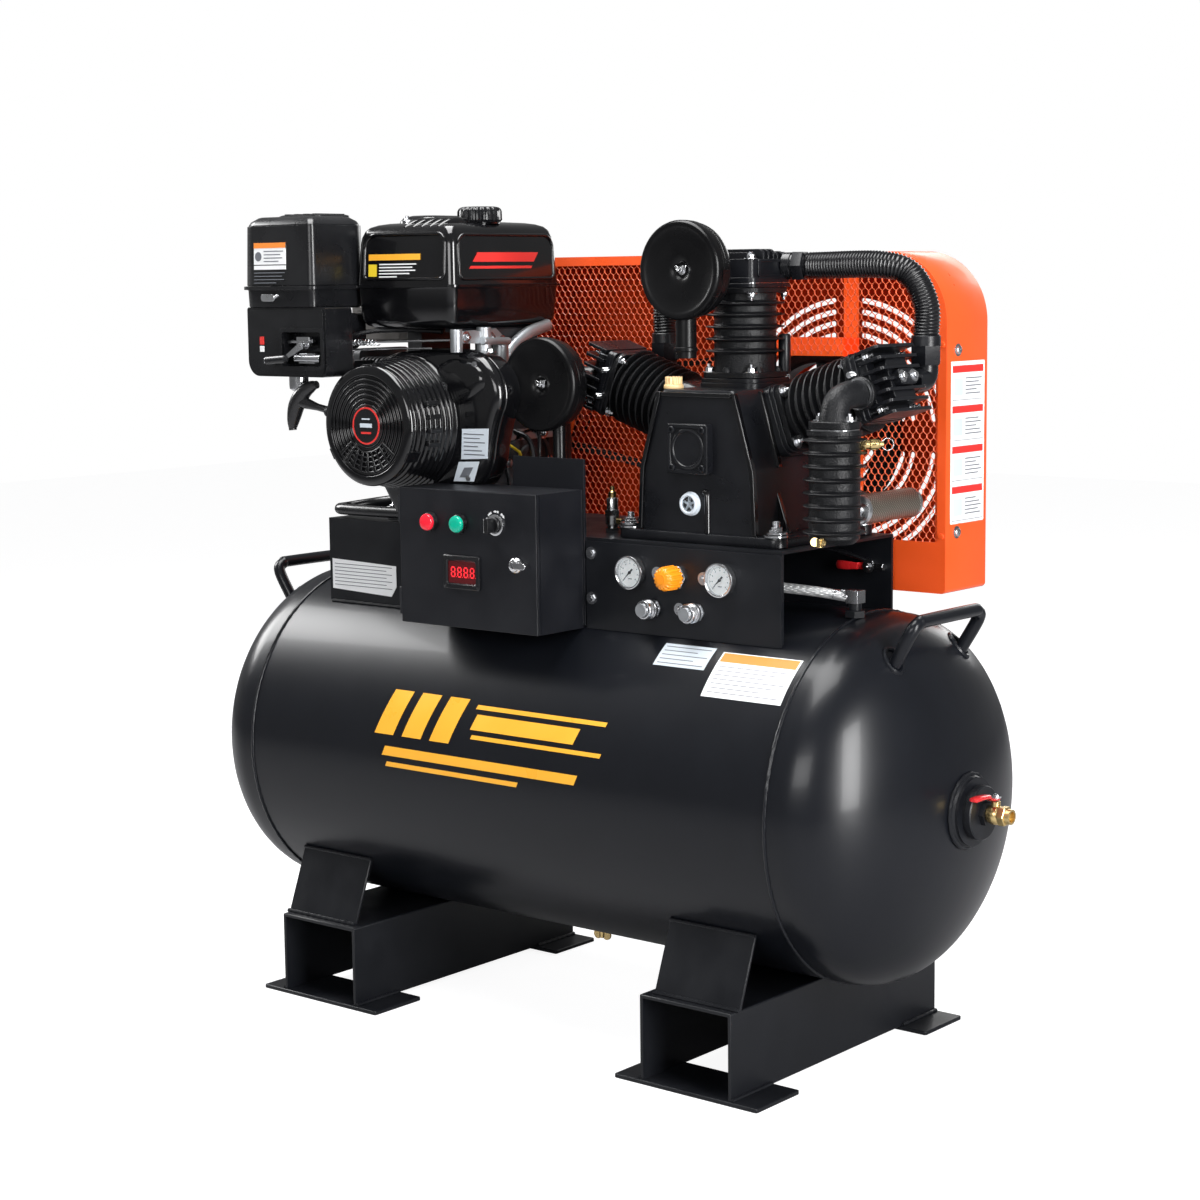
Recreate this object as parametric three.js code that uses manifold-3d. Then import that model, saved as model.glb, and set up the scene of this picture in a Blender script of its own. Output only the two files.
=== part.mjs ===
// Engine-driven, belt-driven air compressor on a horizontal tank.
// Millimetres, +Z up. +X runs along the tank to its valve end and -Y is the control side.
import * as THREE from 'three';
import { mergeVertices } from 'three/addons/utils/BufferGeometryUtils.js';
import Module from 'manifold-3d';

const wasm = await Module();
wasm.setup();

// ---- driving dimensions ----
const GAP = 0.3;                         // clearance left between separate pieces
const TANK = { radius: 260, axisZ: 388, seamX: 492, straight: 19, dome: 135.5, wall: 5, facets: 32 };
const TANK_END_X = TANK.seamX + TANK.straight + TANK.dome;
const HANDLE = { footX: 577, footY: 83, footZ: 590, gripX: 612, gripY: 68, gripZ: 650, radius: 10 };
const SADDLE = { x: 357, width: 156, halfY: 259, wall: 5, plateWidth: 246, plateLength: 101, plate: 6 };
const GUSSET = { width: 146, shiftX: 8, footY: 243, topY: 206, topZ: 223, thick: 5 };
const DECK = { x0: -436, x1: 434, front: -136, back: 139, top: 740, plate: 4, skirtZ: 600 };
const PANEL = { x0: 93, x1: 434.5, front: -139.5, thick: 3.2, z0: 600, top: 735 };
const GAUGE = { xs: [180, 338], z: 696, radius: 24, depth: 14, recess: 8, stem: 6 };
const KNOB = { x: 257, z: 694, radius: 17.5, back: -146, length: 29 };
const COUPLER = { xs: [216, 292], z: 647, radius: 10, tip: -170, sleeve: 14, sleeveBack: -147, sleeveLength: 18 };
const BOX = { x0: -178, x1: 87, front: -238.3, back: -139.5, z0: 608.3, top: 808, wall: 2.5 };
const DOOR = { front: -241.5, thick: 2.9 };
const BUTTON = { xs: [-115, -57], z: 760, radius: 13, stem: 8, standoff: 4, length: 9 };
const KEY = { x: 12, z: 762, radius: 12, stem: 6 };
const LOCK = { x: 52, z: 707, radius: 12, stem: 6 };
const METER = { x0: -87, x1: -22, z0: 668, z1: 711 };
const PUMP = { x: 275, z: 880 };
const CASE = { half: 115, baseZ: -139.7, shoulderZ: -37, topZ: 73, baseX: 101, shoulderX: 96, topX: 64 };
const FLANGE = { halfX: 140, halfY: 120, topZ: -125 };
// Each cylinder bank leans by tilt degrees from vertical and stands out by shift along its axis.
const BANKS = { left: { tilt: -71, shift: 4 }, centre: { tilt: 0, shift: -10 }, right: { tilt: 71, shift: 4 } };
const BARREL = { bore: 33, start: 96.4, end: 222.7, core: 44, fin: 56, fins: 5, finStart: 36, finPitch: 17, finThick: 4 };
const HEAD = { start: 223, slab: 240, end: 278, half: 48, fins: 7, fin: 5 };
const PISTON = { radius: 31.8, start: 150, length: 40 };
const CRANK = { shaft: 17, throwRadius: 25, pin: 14, webHalf: 26, rear: 226, front: -105 };
const FLYWHEEL = { radius: 120, rim: 100, hub: 30, bore: 17.8, y0: 182, y1: 218, spokes: 5 };
const ENGINE = { x: -234, z: 896, shaft: 12.5, pulley: 45, pulleyY0: 184, pulleyY1: 216, shaftEnd: 222 };
const BELT = { y0: 188, y1: 212, clearance: 0.7, thick: 9 };
const GUARD = { x0: -345, x1: 517, z0: 658, z1: 1141, front: 145, back: 258, sheet: 3, corner: 100 };
const ARCS = { x: 280, z: 871, radii: [48, 65, 82, 99, 116, 150, 167, 184], topRadius: 201, width: 8, bar: 26, steps: 2 };
const PUMP_WINDOW = { x0: 190, x1: 366, z0: 744, z1: 992 };
const SHAFT_HOLE = 60;
const COVER = { x: -7, z: -8, half: 35, front: 123, boss: 22, bossFront: 129 };
const SIGHT = { x: -10, z: -85 };
const OIL_PLUG = { x: -55, y: -95 };
const FILTER = { radius: 69, front: -115, depth: 40, rim: 14 };
const FILTER_TOP = { x: 244, z: 1117.6, pipeX: 242, pipeEnd: 995, pipeRadius: 15 };
const FILTER_LOW = { x: -16, z: 955, pipeX: 8, pipeEnd: 812, pipeRadius: 10 };
const HOSE = { radius: 19, headTop: 1122, nutZ: 984, nutTop: 1011, portZ: 964 };
const HOSE_PORTS = { left: { x: 50, y: 105 }, right: { x: 523, y: 81 } };
const COOLER = { x: 497, y: -104, bottom: 752, top: 922, radius: 41, core: 30, fins: 6 };
const SILENCER = { radius: 21, neck: 13, neckLength: 24, length: 155, z: 793 };
const RELIEF = { radius: 8, length: 36, z: 884, seat: 31 };
const BUNG = { start: 646.9, flange: 46, flangeEnd: 658, hex: 36, hexEnd: 670, end: 712 };
const VALVE = { pivotX: 687, body: 12, hex: 14, hexStart: 696, stem: 20, leverLength: 62 };
const HOUSING = { radius: 104, back: -160, front: -222, recoil: 96, nose: -250, wall: 4 };
const FUEL_TANK = { x0: -318, x1: -125, y0: -176, y1: 58, z0: 1035, top: 1193, corner: 34, bevel: 18, wall: 5 };
const FUEL_CAP = { x: -172, y: -62, radius: 34, height: 23, neck: 18 };
const CLEANER = { x0: -478, x1: -323, y0: -268, y1: -140, z0: 1069, z1: 1205, seamZ: 1099 };
const PILOT = { x: 88, y: -72, radius: 12, height: 70 };

// ---- finishes ----
const FINISH = {
  tankPaint: [0x14161a, 0.32, 0.1], frameBlack: [0x16181c, 0.42, 0.1], boxBlack: [0x1a1c21, 0.4, 0.1],
  castBlack: [0x17181a, 0.55, 0.25], engineBlack: [0x101113, 0.22, 0.1], guardOrange: [0xf0441b, 0.4, 0.05],
  beltRubber: [0x151515, 0.8, 0], hoseRubber: [0x121214, 0.5, 0], plasticBlack: [0x131316, 0.35, 0],
  steel: [0xb9bcc0, 0.3, 0.9], chrome: [0xd8dadd, 0.12, 1], brass: [0xc7a252, 0.3, 0.9],
  knobOrange: [0xf08a1c, 0.35, 0], leverRed: [0xc8201c, 0.35, 0.05], lampRed: [0xd8232a, 0.2, 0],
  lampGreen: [0x12b08a, 0.2, 0], glass: [0xdfe6ea, 0.08, 0], needleRed: [0x1c1c1c, 0.4, 0],
};

function finish(name) {
  const [color, roughness, metalness] = FINISH[name];
  return new THREE.MeshStandardMaterial({ name, color, roughness, metalness });
}

// ---- shape helpers ----
const AXIS = { x: new THREE.Vector3(1, 0, 0), y: new THREE.Vector3(0, 1, 0), z: new THREE.Vector3(0, 0, 1) };
const LATHE_AXIS = new THREE.Vector3(0, 1, 0);
const OUTWARD = new THREE.Vector3(0, -1, 0);             // towards the control side
const RELIEF_AXIS = new THREE.Vector3(1, 1, 0).normalize();

function signedVolume(geometry) {
  const flat = geometry.index ? geometry.toNonIndexed() : geometry;
  const p = flat.getAttribute('position');
  const [a, b, c] = [new THREE.Vector3(), new THREE.Vector3(), new THREE.Vector3()];
  let volume = 0;
  for (let i = 0; i < p.count; i += 3) {
    a.fromBufferAttribute(p, i);
    b.fromBufferAttribute(p, i + 1);
    c.fromBufferAttribute(p, i + 2);
    volume += a.dot(b.cross(c)) / 6;
  }
  return volume;
}

// Welds a geometry's vertices and turns its faces outward.
function welded(geometry) {
  const bare = new THREE.BufferGeometry();
  bare.setAttribute('position', geometry.getAttribute('position').clone());
  if (geometry.index) bare.setIndex(geometry.index.clone());
  const merged = mergeVertices(bare, 1e-3);
  const keep = [];
  const index = merged.index.array;
  for (let i = 0; i < index.length; i += 3) {
    const [a, b, c] = [index[i], index[i + 1], index[i + 2]];
    if (a !== b && b !== c && a !== c) keep.push(a, b, c);
  }
  merged.setIndex(keep);
  if (signedVolume(merged) < 0) {
    for (let i = 0; i < keep.length; i += 3) [keep[i], keep[i + 1]] = [keep[i + 1], keep[i]];
    merged.setIndex(keep);
  }
  return merged;
}

function solid(geometry) {
  const g = welded(geometry);
  const mesh = new wasm.Mesh({
    numProp: 3,
    vertProperties: new Float32Array(g.getAttribute('position').array),
    triVerts: new Uint32Array(g.index.array),
  });
  return new wasm.Manifold(mesh);
}

function geometryOf(body) {
  const mesh = body.getMesh();
  const g = new THREE.BufferGeometry();
  g.setAttribute('position', new THREE.BufferAttribute(new Float32Array(mesh.vertProperties), 3));
  g.setIndex(new THREE.BufferAttribute(new Uint32Array(mesh.triVerts), 1));
  return g;
}

const join = (first, ...rest) => rest.reduce((sum, g) => sum.add(solid(g)), solid(first));
const cut = (body, ...tools) => tools.reduce((left, g) => left.subtract(solid(g)), body);
const hollowed = (body, tool) => geometryOf(cut(solid(body), tool));

function block(x0, x1, y0, y1, z0, z1) {
  return new THREE.BoxGeometry(x1 - x0, y1 - y0, z1 - z0).translate((x0 + x1) / 2, (y0 + y1) / 2, (z0 + z1) / 2);
}

// A cylinder from point a to point b.
function rod(radius, a, b, facets = 24) {
  const from = new THREE.Vector3(...a);
  const to = new THREE.Vector3(...b);
  const along = to.clone().sub(from);
  const turn = new THREE.Quaternion().setFromUnitVectors(LATHE_AXIS, along.clone().normalize());
  const middle = from.clone().add(to).multiplyScalar(0.5);
  return new THREE.CylinderGeometry(radius, radius, along.length(), facets)
    .applyQuaternion(turn)
    .translate(middle.x, middle.y, middle.z);
}

// A profile of [radius, height] points turned about an axis direction.
function turned(profile, axis = AXIS.z, facets = 24) {
  const points = profile.map(([r, h]) => new THREE.Vector2(r, h));
  const turn = new THREE.Quaternion().setFromUnitVectors(LATHE_AXIS, axis);
  return new THREE.LatheGeometry(points, facets).applyQuaternion(turn);
}

function outline(points) {
  return new THREE.Shape(points.map(([x, y]) => new THREE.Vector2(x, y)));
}

// A shape drawn in the XZ plane, from y0 to y1.
function plateXZ(shape, y0, y1, curveSegments = 4) {
  return new THREE.ExtrudeGeometry(shape, { depth: y1 - y0, bevelEnabled: false, curveSegments })
    .rotateX(Math.PI / 2)
    .translate(0, y1, 0);
}

// A shape drawn in the YZ plane, from x0 to x1.
function plateYZ(shape, x0, x1) {
  const basis = new THREE.Matrix4().makeBasis(AXIS.y, AXIS.z, AXIS.x);
  return new THREE.ExtrudeGeometry(shape, { depth: x1 - x0, bevelEnabled: false })
    .applyMatrix4(basis)
    .translate(x0, 0, 0);
}

// A round tube whose centre line passes smoothly through the points.
function pipe(points, radius, steps, facets) {
  const path = new THREE.CatmullRomCurve3(points.map((p) => new THREE.Vector3(...p)), false, 'centripetal');
  const ring = new THREE.Shape().absarc(0, 0, radius, 0, 2 * Math.PI);
  return new THREE.ExtrudeGeometry(ring, { extrudePath: path, steps, curveSegments: facets / 2 });
}

function roundedRect(x0, x1, y0, y1, top, bottom) {
  const s = new THREE.Shape();
  s.moveTo(x0 + bottom, y0);
  s.lineTo(x1 - bottom, y0);
  s.absarc(x1 - bottom, y0 + bottom, bottom, -Math.PI / 2, 0);
  s.lineTo(x1, y1 - top);
  s.absarc(x1 - top, y1 - top, top, 0, Math.PI / 2);
  s.lineTo(x0 + top, y1);
  s.absarc(x0 + top, y1 - top, top, Math.PI / 2, Math.PI);
  s.lineTo(x0, y0 + bottom);
  s.absarc(x0 + bottom, y0 + bottom, bottom, Math.PI, 1.5 * Math.PI);
  return s;
}

// An upright box with rounded corners and bevelled top and bottom edges.
function softBox(d, grow = 0) {
  const b = Math.max(d.bevel + grow, 2);
  const shape = roundedRect(d.x0 - grow + b, d.x1 + grow - b, d.y0 - grow + b, d.y1 + grow - b,
    d.corner - d.bevel, d.corner - d.bevel);
  return new THREE.ExtrudeGeometry(shape, {
    depth: d.top - d.z0 + 2 * grow - 2 * b,
    bevelThickness: b, bevelSize: b, bevelSegments: 2, curveSegments: 1,
  }).translate(0, 0, d.z0 - grow + b);
}

// The tank's outline with clearance, used to trim whatever rests on it.
function tankClearance() {
  const r = (TANK.radius + GAP) / Math.cos(Math.PI / TANK.facets);
  return rod(r, [-TANK.seamX, 0, TANK.axisZ], [TANK.seamX, 0, TANK.axisZ], TANK.facets);
}

// ---- scene ----
const model = new THREE.Group();

function add(name, shape, material, position = [0, 0, 0], parent = model) {
  const geometry = shape instanceof wasm.Manifold ? geometryOf(shape) : welded(shape);
  const mesh = new THREE.Mesh(geometry, finish(material));
  mesh.name = name;
  mesh.position.set(...position);
  parent.add(mesh);
}

function addTank() {
  const tank = new THREE.Group();
  tank.position.z = TANK.axisZ;
  model.add(tank);
  const inner = TANK.radius - TANK.wall;
  const half = TANK.seamX - GAP;
  const wall = [[inner, -half], [TANK.radius, -half], [TANK.radius, half], [inner, half], [inner, -half]];
  add('tank_shell', turned(wall, AXIS.x, TANK.facets), 'tankPaint', [0, 0, 0], tank);
  for (const [name, side, port] of [['tank_end_left', -1, 0], ['tank_end_right', 1, 15]]) {
    const end = join(turned(domeProfile(port), new THREE.Vector3(side, 0, 0), TANK.facets), handle(side));
    add(name, end, 'tankPaint', [0, 0, 0], tank);
  }
}

function domeProfile(port) {
  const steps = 5;
  const arc = (radius, depth) => {
    const points = [];
    for (let i = 0; i <= steps; i++) {
      const a = (i / steps) * (Math.PI / 2);
      points.push([Math.max(radius * Math.cos(a), port), TANK.seamX + TANK.straight + depth * Math.sin(a)]);
    }
    return points;
  };
  const inner = TANK.radius - TANK.wall;
  const outside = [[TANK.radius, TANK.seamX], ...arc(TANK.radius, TANK.dome)];
  const inside = [[inner, TANK.seamX], ...arc(inner, TANK.dome - TANK.wall)];
  const loop = [...outside.reverse(), ...inside];
  return port ? [...loop, loop[0]] : loop;
}

function handle(side) {
  const h = HANDLE;
  const z = TANK.axisZ;
  const foot = (s) => [side * h.footX, s * h.footY, h.footZ - z];
  const grip = (s, x, y) => [side * (h.gripX - x), s * (h.gripY - y), h.gripZ - z];
  const half = (s) => [foot(s), [side * (h.gripX - 8), s * (h.gripY + 4), h.gripZ - z - 14], grip(s, 0, 14)];
  return pipe([...half(-1), ...half(1).reverse()], h.radius, 12, 8);
}

function addSaddles() {
  for (const [name, side] of [['saddle_left', -1], ['saddle_right', 1]]) {
    const s = SADDLE;
    const top = TANK.axisZ - TANK.radius - GAP;
    const beam = block(-s.width / 2, s.width / 2, -s.halfY, s.halfY, s.plate - 1, top);
    const hollow = block(-s.width / 2 + s.wall, s.width / 2 - s.wall, -s.halfY - 9, s.halfY + 9,
      s.plate + s.wall, top - s.wall);
    const extras = [];
    for (const end of [-1, 1]) {
      const [a, b] = [end * (s.halfY + 3), end * (s.halfY + 3 - s.plateLength)];
      extras.push(block(-s.plateWidth / 2, s.plateWidth / 2, Math.min(a, b), Math.max(a, b), 0, s.plate));
      extras.push(gusset(end, side * GUSSET.shiftX, top));
    }
    const body = join(hollowed(beam, hollow), ...extras);
    add(name, cut(body, tankClearance().translate(-side * s.x, 0, 0)), 'frameBlack', [side * s.x, 0, 0]);
  }
}

function gusset(end, shiftX, beamTop) {
  const g = GUSSET;
  const lower = beamTop - 3;
  const shape = outline([[end * g.footY, lower], [end * (g.footY - g.thick), lower],
    [end * (g.topY - g.thick), g.topZ], [end * g.topY, g.topZ]]);
  return plateYZ(shape, shiftX - g.width / 2, shiftX + g.width / 2);
}

function addDeck() {
  const d = DECK;
  const top = block(d.x0, d.x1, d.front, d.back, d.top - d.plate, d.top);
  const front = block(d.x0, d.x1, d.front, d.front + d.plate, d.skirtZ, d.top);
  const back = block(d.x0, d.x1, d.back - d.plate, d.back, d.skirtZ, d.top);
  const window = block(PANEL.x0 + 35, PANEL.x1 - 35, d.front - 9, d.front + 9, 626, 720);
  add('deck', cut(join(top, front, back), tankClearance(), window), 'frameBlack');
}

function addGaugePanel() {
  const p = PANEL;
  const hole = (x, z, r) => rod(r, [x, p.front - 9, z], [x, p.front + 9, z], 16);
  const sheet = block(p.x0, p.x1, p.front, p.front + p.thick, p.z0, p.top);
  const body = cut(solid(sheet), tankClearance(), hole(KNOB.x, KNOB.z, 14),
    ...GAUGE.xs.map((x) => hole(x, GAUGE.z, GAUGE.stem + 2)),
    ...COUPLER.xs.map((x) => hole(x, COUPLER.z, COUPLER.radius + 2)));
  add('gauge_panel', body, 'frameBlack');

  const bar = block(165, 352, -118, -100, 636, 708);
  const stem = rod(12, [KNOB.x, -110, KNOB.z], [KNOB.x, KNOB.back + GAP, KNOB.z], 16);
  const nipples = COUPLER.xs.map((x) => rod(COUPLER.radius, [x, -110, COUPLER.z], [x, COUPLER.tip, COUPLER.z], 16));
  add('air_manifold', join(bar, stem, ...nipples), 'steel');

  GAUGE.xs.forEach((x, i) => addGauge(['left', 'right'][i], x));
  COUPLER.xs.forEach((x, i) => {
    const [r0, r1, length] = [COUPLER.radius + 0.8, COUPLER.sleeve, COUPLER.sleeveLength];
    const ring = turned([[r0, 0], [r1, 0], [r1, length], [r0, length], [r0, 0]], OUTWARD, 16);
    add(`coupler_sleeve_${['left', 'right'][i]}`, ring, 'steel', [x, COUPLER.sleeveBack, COUPLER.z]);
  });

  const k = KNOB;
  const grip = turned([[0, 0], [k.radius - 3, 0], [k.radius, 3], [k.radius, k.length - 4],
    [k.radius - 4, k.length], [0, k.length]], OUTWARD, 16);
  add('regulator_knob', grip, 'knobOrange', [k.x, k.back, k.z]);
}

function addGauge(side, x) {
  const g = GAUGE;
  const lip = g.radius - 2.5;
  const profile = [[0, -20], [g.stem, -20], [g.stem, 0], [g.radius, 0], [g.radius, g.depth],
    [lip, g.depth], [lip, g.depth - g.recess], [0, g.depth - g.recess]];
  const face = new THREE.Group();
  face.position.set(x, PANEL.front - GAP, g.z);
  model.add(face);
  add(`pressure_gauge_${side}`, turned(profile, OUTWARD, 20), 'steel', [0, 0, 0], face);
  const needle = new THREE.Shape();
  needle.moveTo(-9, -7);
  needle.lineTo(-13, -14);
  needle.lineTo(-7, -9);
  needle.lineTo(6, 4);
  needle.lineTo(4, 6);
  add(`gauge_needle_${side}`, plateXZ(needle, -1, 0), 'needleRed', [0, -(g.depth - g.recess) - 1.5, 0], face);
}

function addControlBox() {
  const b = BOX;
  const shell = cut(solid(block(b.x0, b.x1, b.front, b.back, b.z0, b.top)),
    block(b.x0 + b.wall, b.x1 - b.wall, b.front - 9, b.back - b.wall, b.z0 + b.wall, b.top - b.wall));
  const bracket = block(-44, b.x1 + 4, b.back - 1, DECK.front - GAP, 612.5, 852);
  add('control_box', cut(shell.add(solid(bracket)), tankClearance()), 'boxBlack');

  const hole = (x, z, r) => rod(r, [x, DOOR.front - 9, z], [x, DOOR.front + 9, z], 16);
  const sheet = block(b.x0, b.x1, DOOR.front, DOOR.front + DOOR.thick, b.z0, b.top);
  const meter = block(METER.x0, METER.x1, DOOR.front - 9, DOOR.front + 9, METER.z0, METER.z1);
  const door = cut(solid(sheet), meter, hole(KEY.x, KEY.z, KEY.stem + 1), hole(LOCK.x, LOCK.z, LOCK.stem + 1),
    ...BUTTON.xs.map((x) => hole(x, BUTTON.z, BUTTON.stem + 1)));
  add('control_box_door', door, 'boxBlack');

  BUTTON.xs.forEach((x, i) => {
    const u = BUTTON;
    const cap = turned([[0, -6], [u.stem, -6], [u.stem, u.standoff], [u.radius, u.standoff],
      [u.radius, u.standoff + u.length - 3], [u.radius - 4, u.standoff + u.length], [0, u.standoff + u.length]],
    OUTWARD, 16);
    add(['stop_button', 'start_button'][i], cap, ['lampRed', 'lampGreen'][i], [x, DOOR.front, u.z]);
  });

  const barrel = turned([[0, -8], [KEY.stem, -8], [KEY.stem, 1], [KEY.radius, 1], [KEY.radius, 8], [0, 8]],
    OUTWARD, 16);
  const bow = block(-4, 4, -22, -7, -11, 11);
  add('key_switch', join(barrel, bow), 'plasticBlack', [KEY.x, DOOR.front, KEY.z]);
  const cam = block(-7, 24, 7, 10, -6, 6);
  const plug = turned([[0, -8], [LOCK.stem, -8], [LOCK.stem, 1], [LOCK.radius, 1], [LOCK.radius, 7],
    [LOCK.radius - 3, 10], [0, 10]], OUTWARD, 16);
  add('door_lock', join(plug, cam), 'chrome', [LOCK.x, DOOR.front, LOCK.z]);
}

function addPump() {
  const pump = new THREE.Group();
  pump.position.set(PUMP.x, 0, PUMP.z);
  model.add(pump);
  add('crankcase', crankcase(), 'castBlack', [0, 0, 0], pump);
  const c = COVER;
  const cover = join(block(c.x - c.half, c.x + c.half, -c.front, -CASE.half - GAP, c.z - c.half, c.z + c.half),
    rod(c.boss, [c.x, -c.bossFront, c.z], [c.x, -c.front + 3, c.z], 20));
  add('bearing_cover', cover, 'castBlack', [0, 0, 0], pump);
  const lens = turned([[0, 0], [17, 0], [17, 7], [12, 10], [0, 10]], OUTWARD, 16);
  add('oil_sight_glass', lens, 'glass', [SIGHT.x, -CASE.half - GAP, SIGHT.z], pump);
  const plug = turned([[0, 0], [14, 0], [14, 4], [12, 4], [12, 17], [0, 17]], AXIS.z, 12);
  add('oil_plug', plug, 'knobOrange', [OIL_PLUG.x, OIL_PLUG.y, CASE.topZ + GAP], pump);
  add('pump_crankshaft', pumpCrankshaft(), 'steel', [0, 0, 0], pump);
  add('flywheel', flywheel(), 'castBlack', [0, 0, 0], pump);
  for (const [side, bank] of Object.entries(BANKS)) addBank(side, bank, pump);
}

// A point on a bank's axis, in the pump's frame, a given distance out from the crank.
function alongBank({ tilt, shift }, distance) {
  const a = THREE.MathUtils.degToRad(tilt);
  return [(distance + shift) * Math.sin(a), 0, (distance + shift) * Math.cos(a)];
}

function crankcase() {
  const c = CASE;
  const side = [[c.baseX, c.baseZ], [c.shoulderX, c.shoulderZ], [c.topX, c.topZ]];
  const mirrored = side.map(([x, z]) => [-x, z]).reverse();
  const banks = Object.values(BANKS);
  const pads = banks.map((b) => rod(56, alongBank(b, 30), alongBank(b, BARREL.start - GAP), 20));
  const base = block(-FLANGE.halfX, FLANGE.halfX, -FLANGE.halfY, FLANGE.halfY, c.baseZ, FLANGE.topZ);
  const body = join(plateXZ(outline([...side, ...mirrored]), -c.half, c.half), base, ...pads);
  const seats = banks.map((b) => rod(60, alongBank(b, BARREL.start - GAP), alongBank(b, HEAD.end), 20));
  const bores = banks.map((b) => rod(BARREL.bore + 2, [0, 0, 0], alongBank(b, BARREL.start), 20));
  const chamber = rod(60, [0, 20 - c.half, 0], [0, c.half - 20, 0], 24);
  const frontHole = rod(30, [COVER.x, -c.half - 9, COVER.z], [COVER.x, 0, COVER.z], 20);
  const rearHole = rod(CRANK.shaft + 3, [0, 0, 0], [0, c.half + 9, 0], 20);
  return cut(body, ...seats, ...bores, chamber, frontHole, rearHole);
}

function pumpCrankshaft() {
  const k = CRANK;
  const web = (y0, y1) => block(-k.webHalf, k.webHalf, y0, y1, -k.webHalf, k.throwRadius + k.pin);
  return join(rod(k.shaft, [0, k.front, 0], [0, -27, 0], 20), web(-42, -26),
    rod(k.pin, [0, -27, k.throwRadius], [0, 27, k.throwRadius], 16), web(26, 42),
    rod(k.shaft, [0, 27, 0], [0, k.rear, 0], 20));
}

function flywheel() {
  const f = FLYWHEEL;
  const ring = (inner, outer) => turned([[inner, f.y0], [outer, f.y0], [outer, f.y1], [inner, f.y1], [inner, f.y0]],
    AXIS.y, 24);
  const spokes = [];
  for (let i = 0; i < f.spokes; i++) {
    const spoke = block(f.hub - 4, f.rim + 4, f.y0 + 6, f.y1 - 6, -9, 9);
    spokes.push(spoke.rotateY((i / f.spokes) * 2 * Math.PI));
  }
  return join(ring(f.rim, f.radius), ring(f.bore, f.hub), ...spokes);
}

function addBank(side, place, pump) {
  const bank = new THREE.Group();
  bank.rotation.y = THREE.MathUtils.degToRad(place.tilt);
  bank.position.set(...alongBank(place, 0));
  pump.add(bank);
  const b = BARREL;
  const fins = [];
  for (let i = 0; i < b.fins; i++) {
    const z = b.start + b.finStart + i * b.finPitch;
    fins.push([b.core, z], [b.fin, z], [b.fin, z + b.finThick], [b.core, z + b.finThick]);
  }
  const barrel = [[b.bore, b.start], [54, b.start], [54, b.start + 8], [b.core, b.start + 8], ...fins,
    [b.core, b.end - 6], [b.fin, b.end - 6], [b.fin, b.end], [b.bore, b.end], [b.bore, b.start]];
  add(`cylinder_${side}`, turned(barrel, AXIS.z, 16), 'castBlack', [0, 0, 0], bank);

  const h = HEAD;
  const comb = [[-h.half, h.start], [h.half, h.start]];
  const pitch = (2 * h.half - h.fin) / (h.fins - 1);
  for (let i = h.fins - 1; i >= 0; i--) {
    const x = -h.half + i * pitch;
    comb.push([x + h.fin, h.slab], [x + h.fin, h.end], [x, h.end], [x, h.slab]);
  }
  comb.splice(2, 1);
  comb.pop();
  add(`head_${side}`, plateXZ(outline(comb), -h.half, h.half), 'castBlack', [0, 0, 0], bank);
  const piston = rod(PISTON.radius, [0, 0, 0], [0, 0, PISTON.length], 16);
  add(`piston_${side}`, piston, 'steel', [0, 0, PISTON.start], bank);
}

function addFilters() {
  for (const [name, f] of [['intake_filter_top', FILTER_TOP], ['intake_filter_low', FILTER_LOW]]) {
    const r = FILTER.radius;
    const d = FILTER.depth;
    const can = turned([[0, 0], [r - 3, 0], [r, 3], [r, d - FILTER.rim], [r - 4, d - 4], [r - 14, d],
      [r * 0.45, d - 6], [0, d - 6]], OUTWARD, 24).translate(f.x, FILTER.front + d, f.z);
    const y = FILTER.front + d / 2;
    const snorkel = rod(f.pipeRadius, [f.pipeX, y, f.z - r + 12], [f.pipeX, y, f.pipeEnd], 14);
    add(name, join(can, snorkel), 'plasticBlack');
  }
}

// The space that a bank's head needs, used to trim what bolts on to it.
function headClearance({ tilt, shift }) {
  const half = HEAD.half + GAP;
  return block(-half, half, -half, half, HEAD.start + shift - GAP, HEAD.end + shift + GAP)
    .rotateY(THREE.MathUtils.degToRad(tilt))
    .translate(PUMP.x, 0, PUMP.z);
}

// The space that a bank's finned barrel needs.
function barrelClearance(bank) {
  return rod(BARREL.fin + 4 * GAP, alongBank(bank, BARREL.start), alongBank(bank, HEAD.start), 24)
    .translate(PUMP.x, 0, PUMP.z);
}

// Hose from the side of the centre head, over and down to the rear face of a tilted head.
function interstageHose(name, side) {
  const h = HOSE;
  const port = HOSE_PORTS[name];
  const startX = PUMP.x + side * (HEAD.half + GAP);
  const hose = join(
    pipe([[startX, 0, h.headTop], [startX + side * 40, 14, h.headTop], [port.x - side * 58, port.y - 34, h.headTop],
      [port.x - side * 20, port.y - 12, h.headTop - 14], [port.x, port.y, h.headTop - 56],
      [port.x, port.y, h.nutTop - 4]], h.radius, 14, 10),
    rod(h.radius + 3, [port.x, port.y, h.nutTop], [port.x, port.y, h.nutZ], 6),
    pipe([[port.x, port.y, h.nutZ + 4], [port.x, port.y, h.portZ + 12], [port.x, port.y - 8, h.portZ + 2],
      [port.x, HEAD.half + GAP, h.portZ]], h.radius - 5, 6, 10),
  );
  return cut(hose, headClearance(BANKS.centre), headClearance(BANKS[name]));
}

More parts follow.
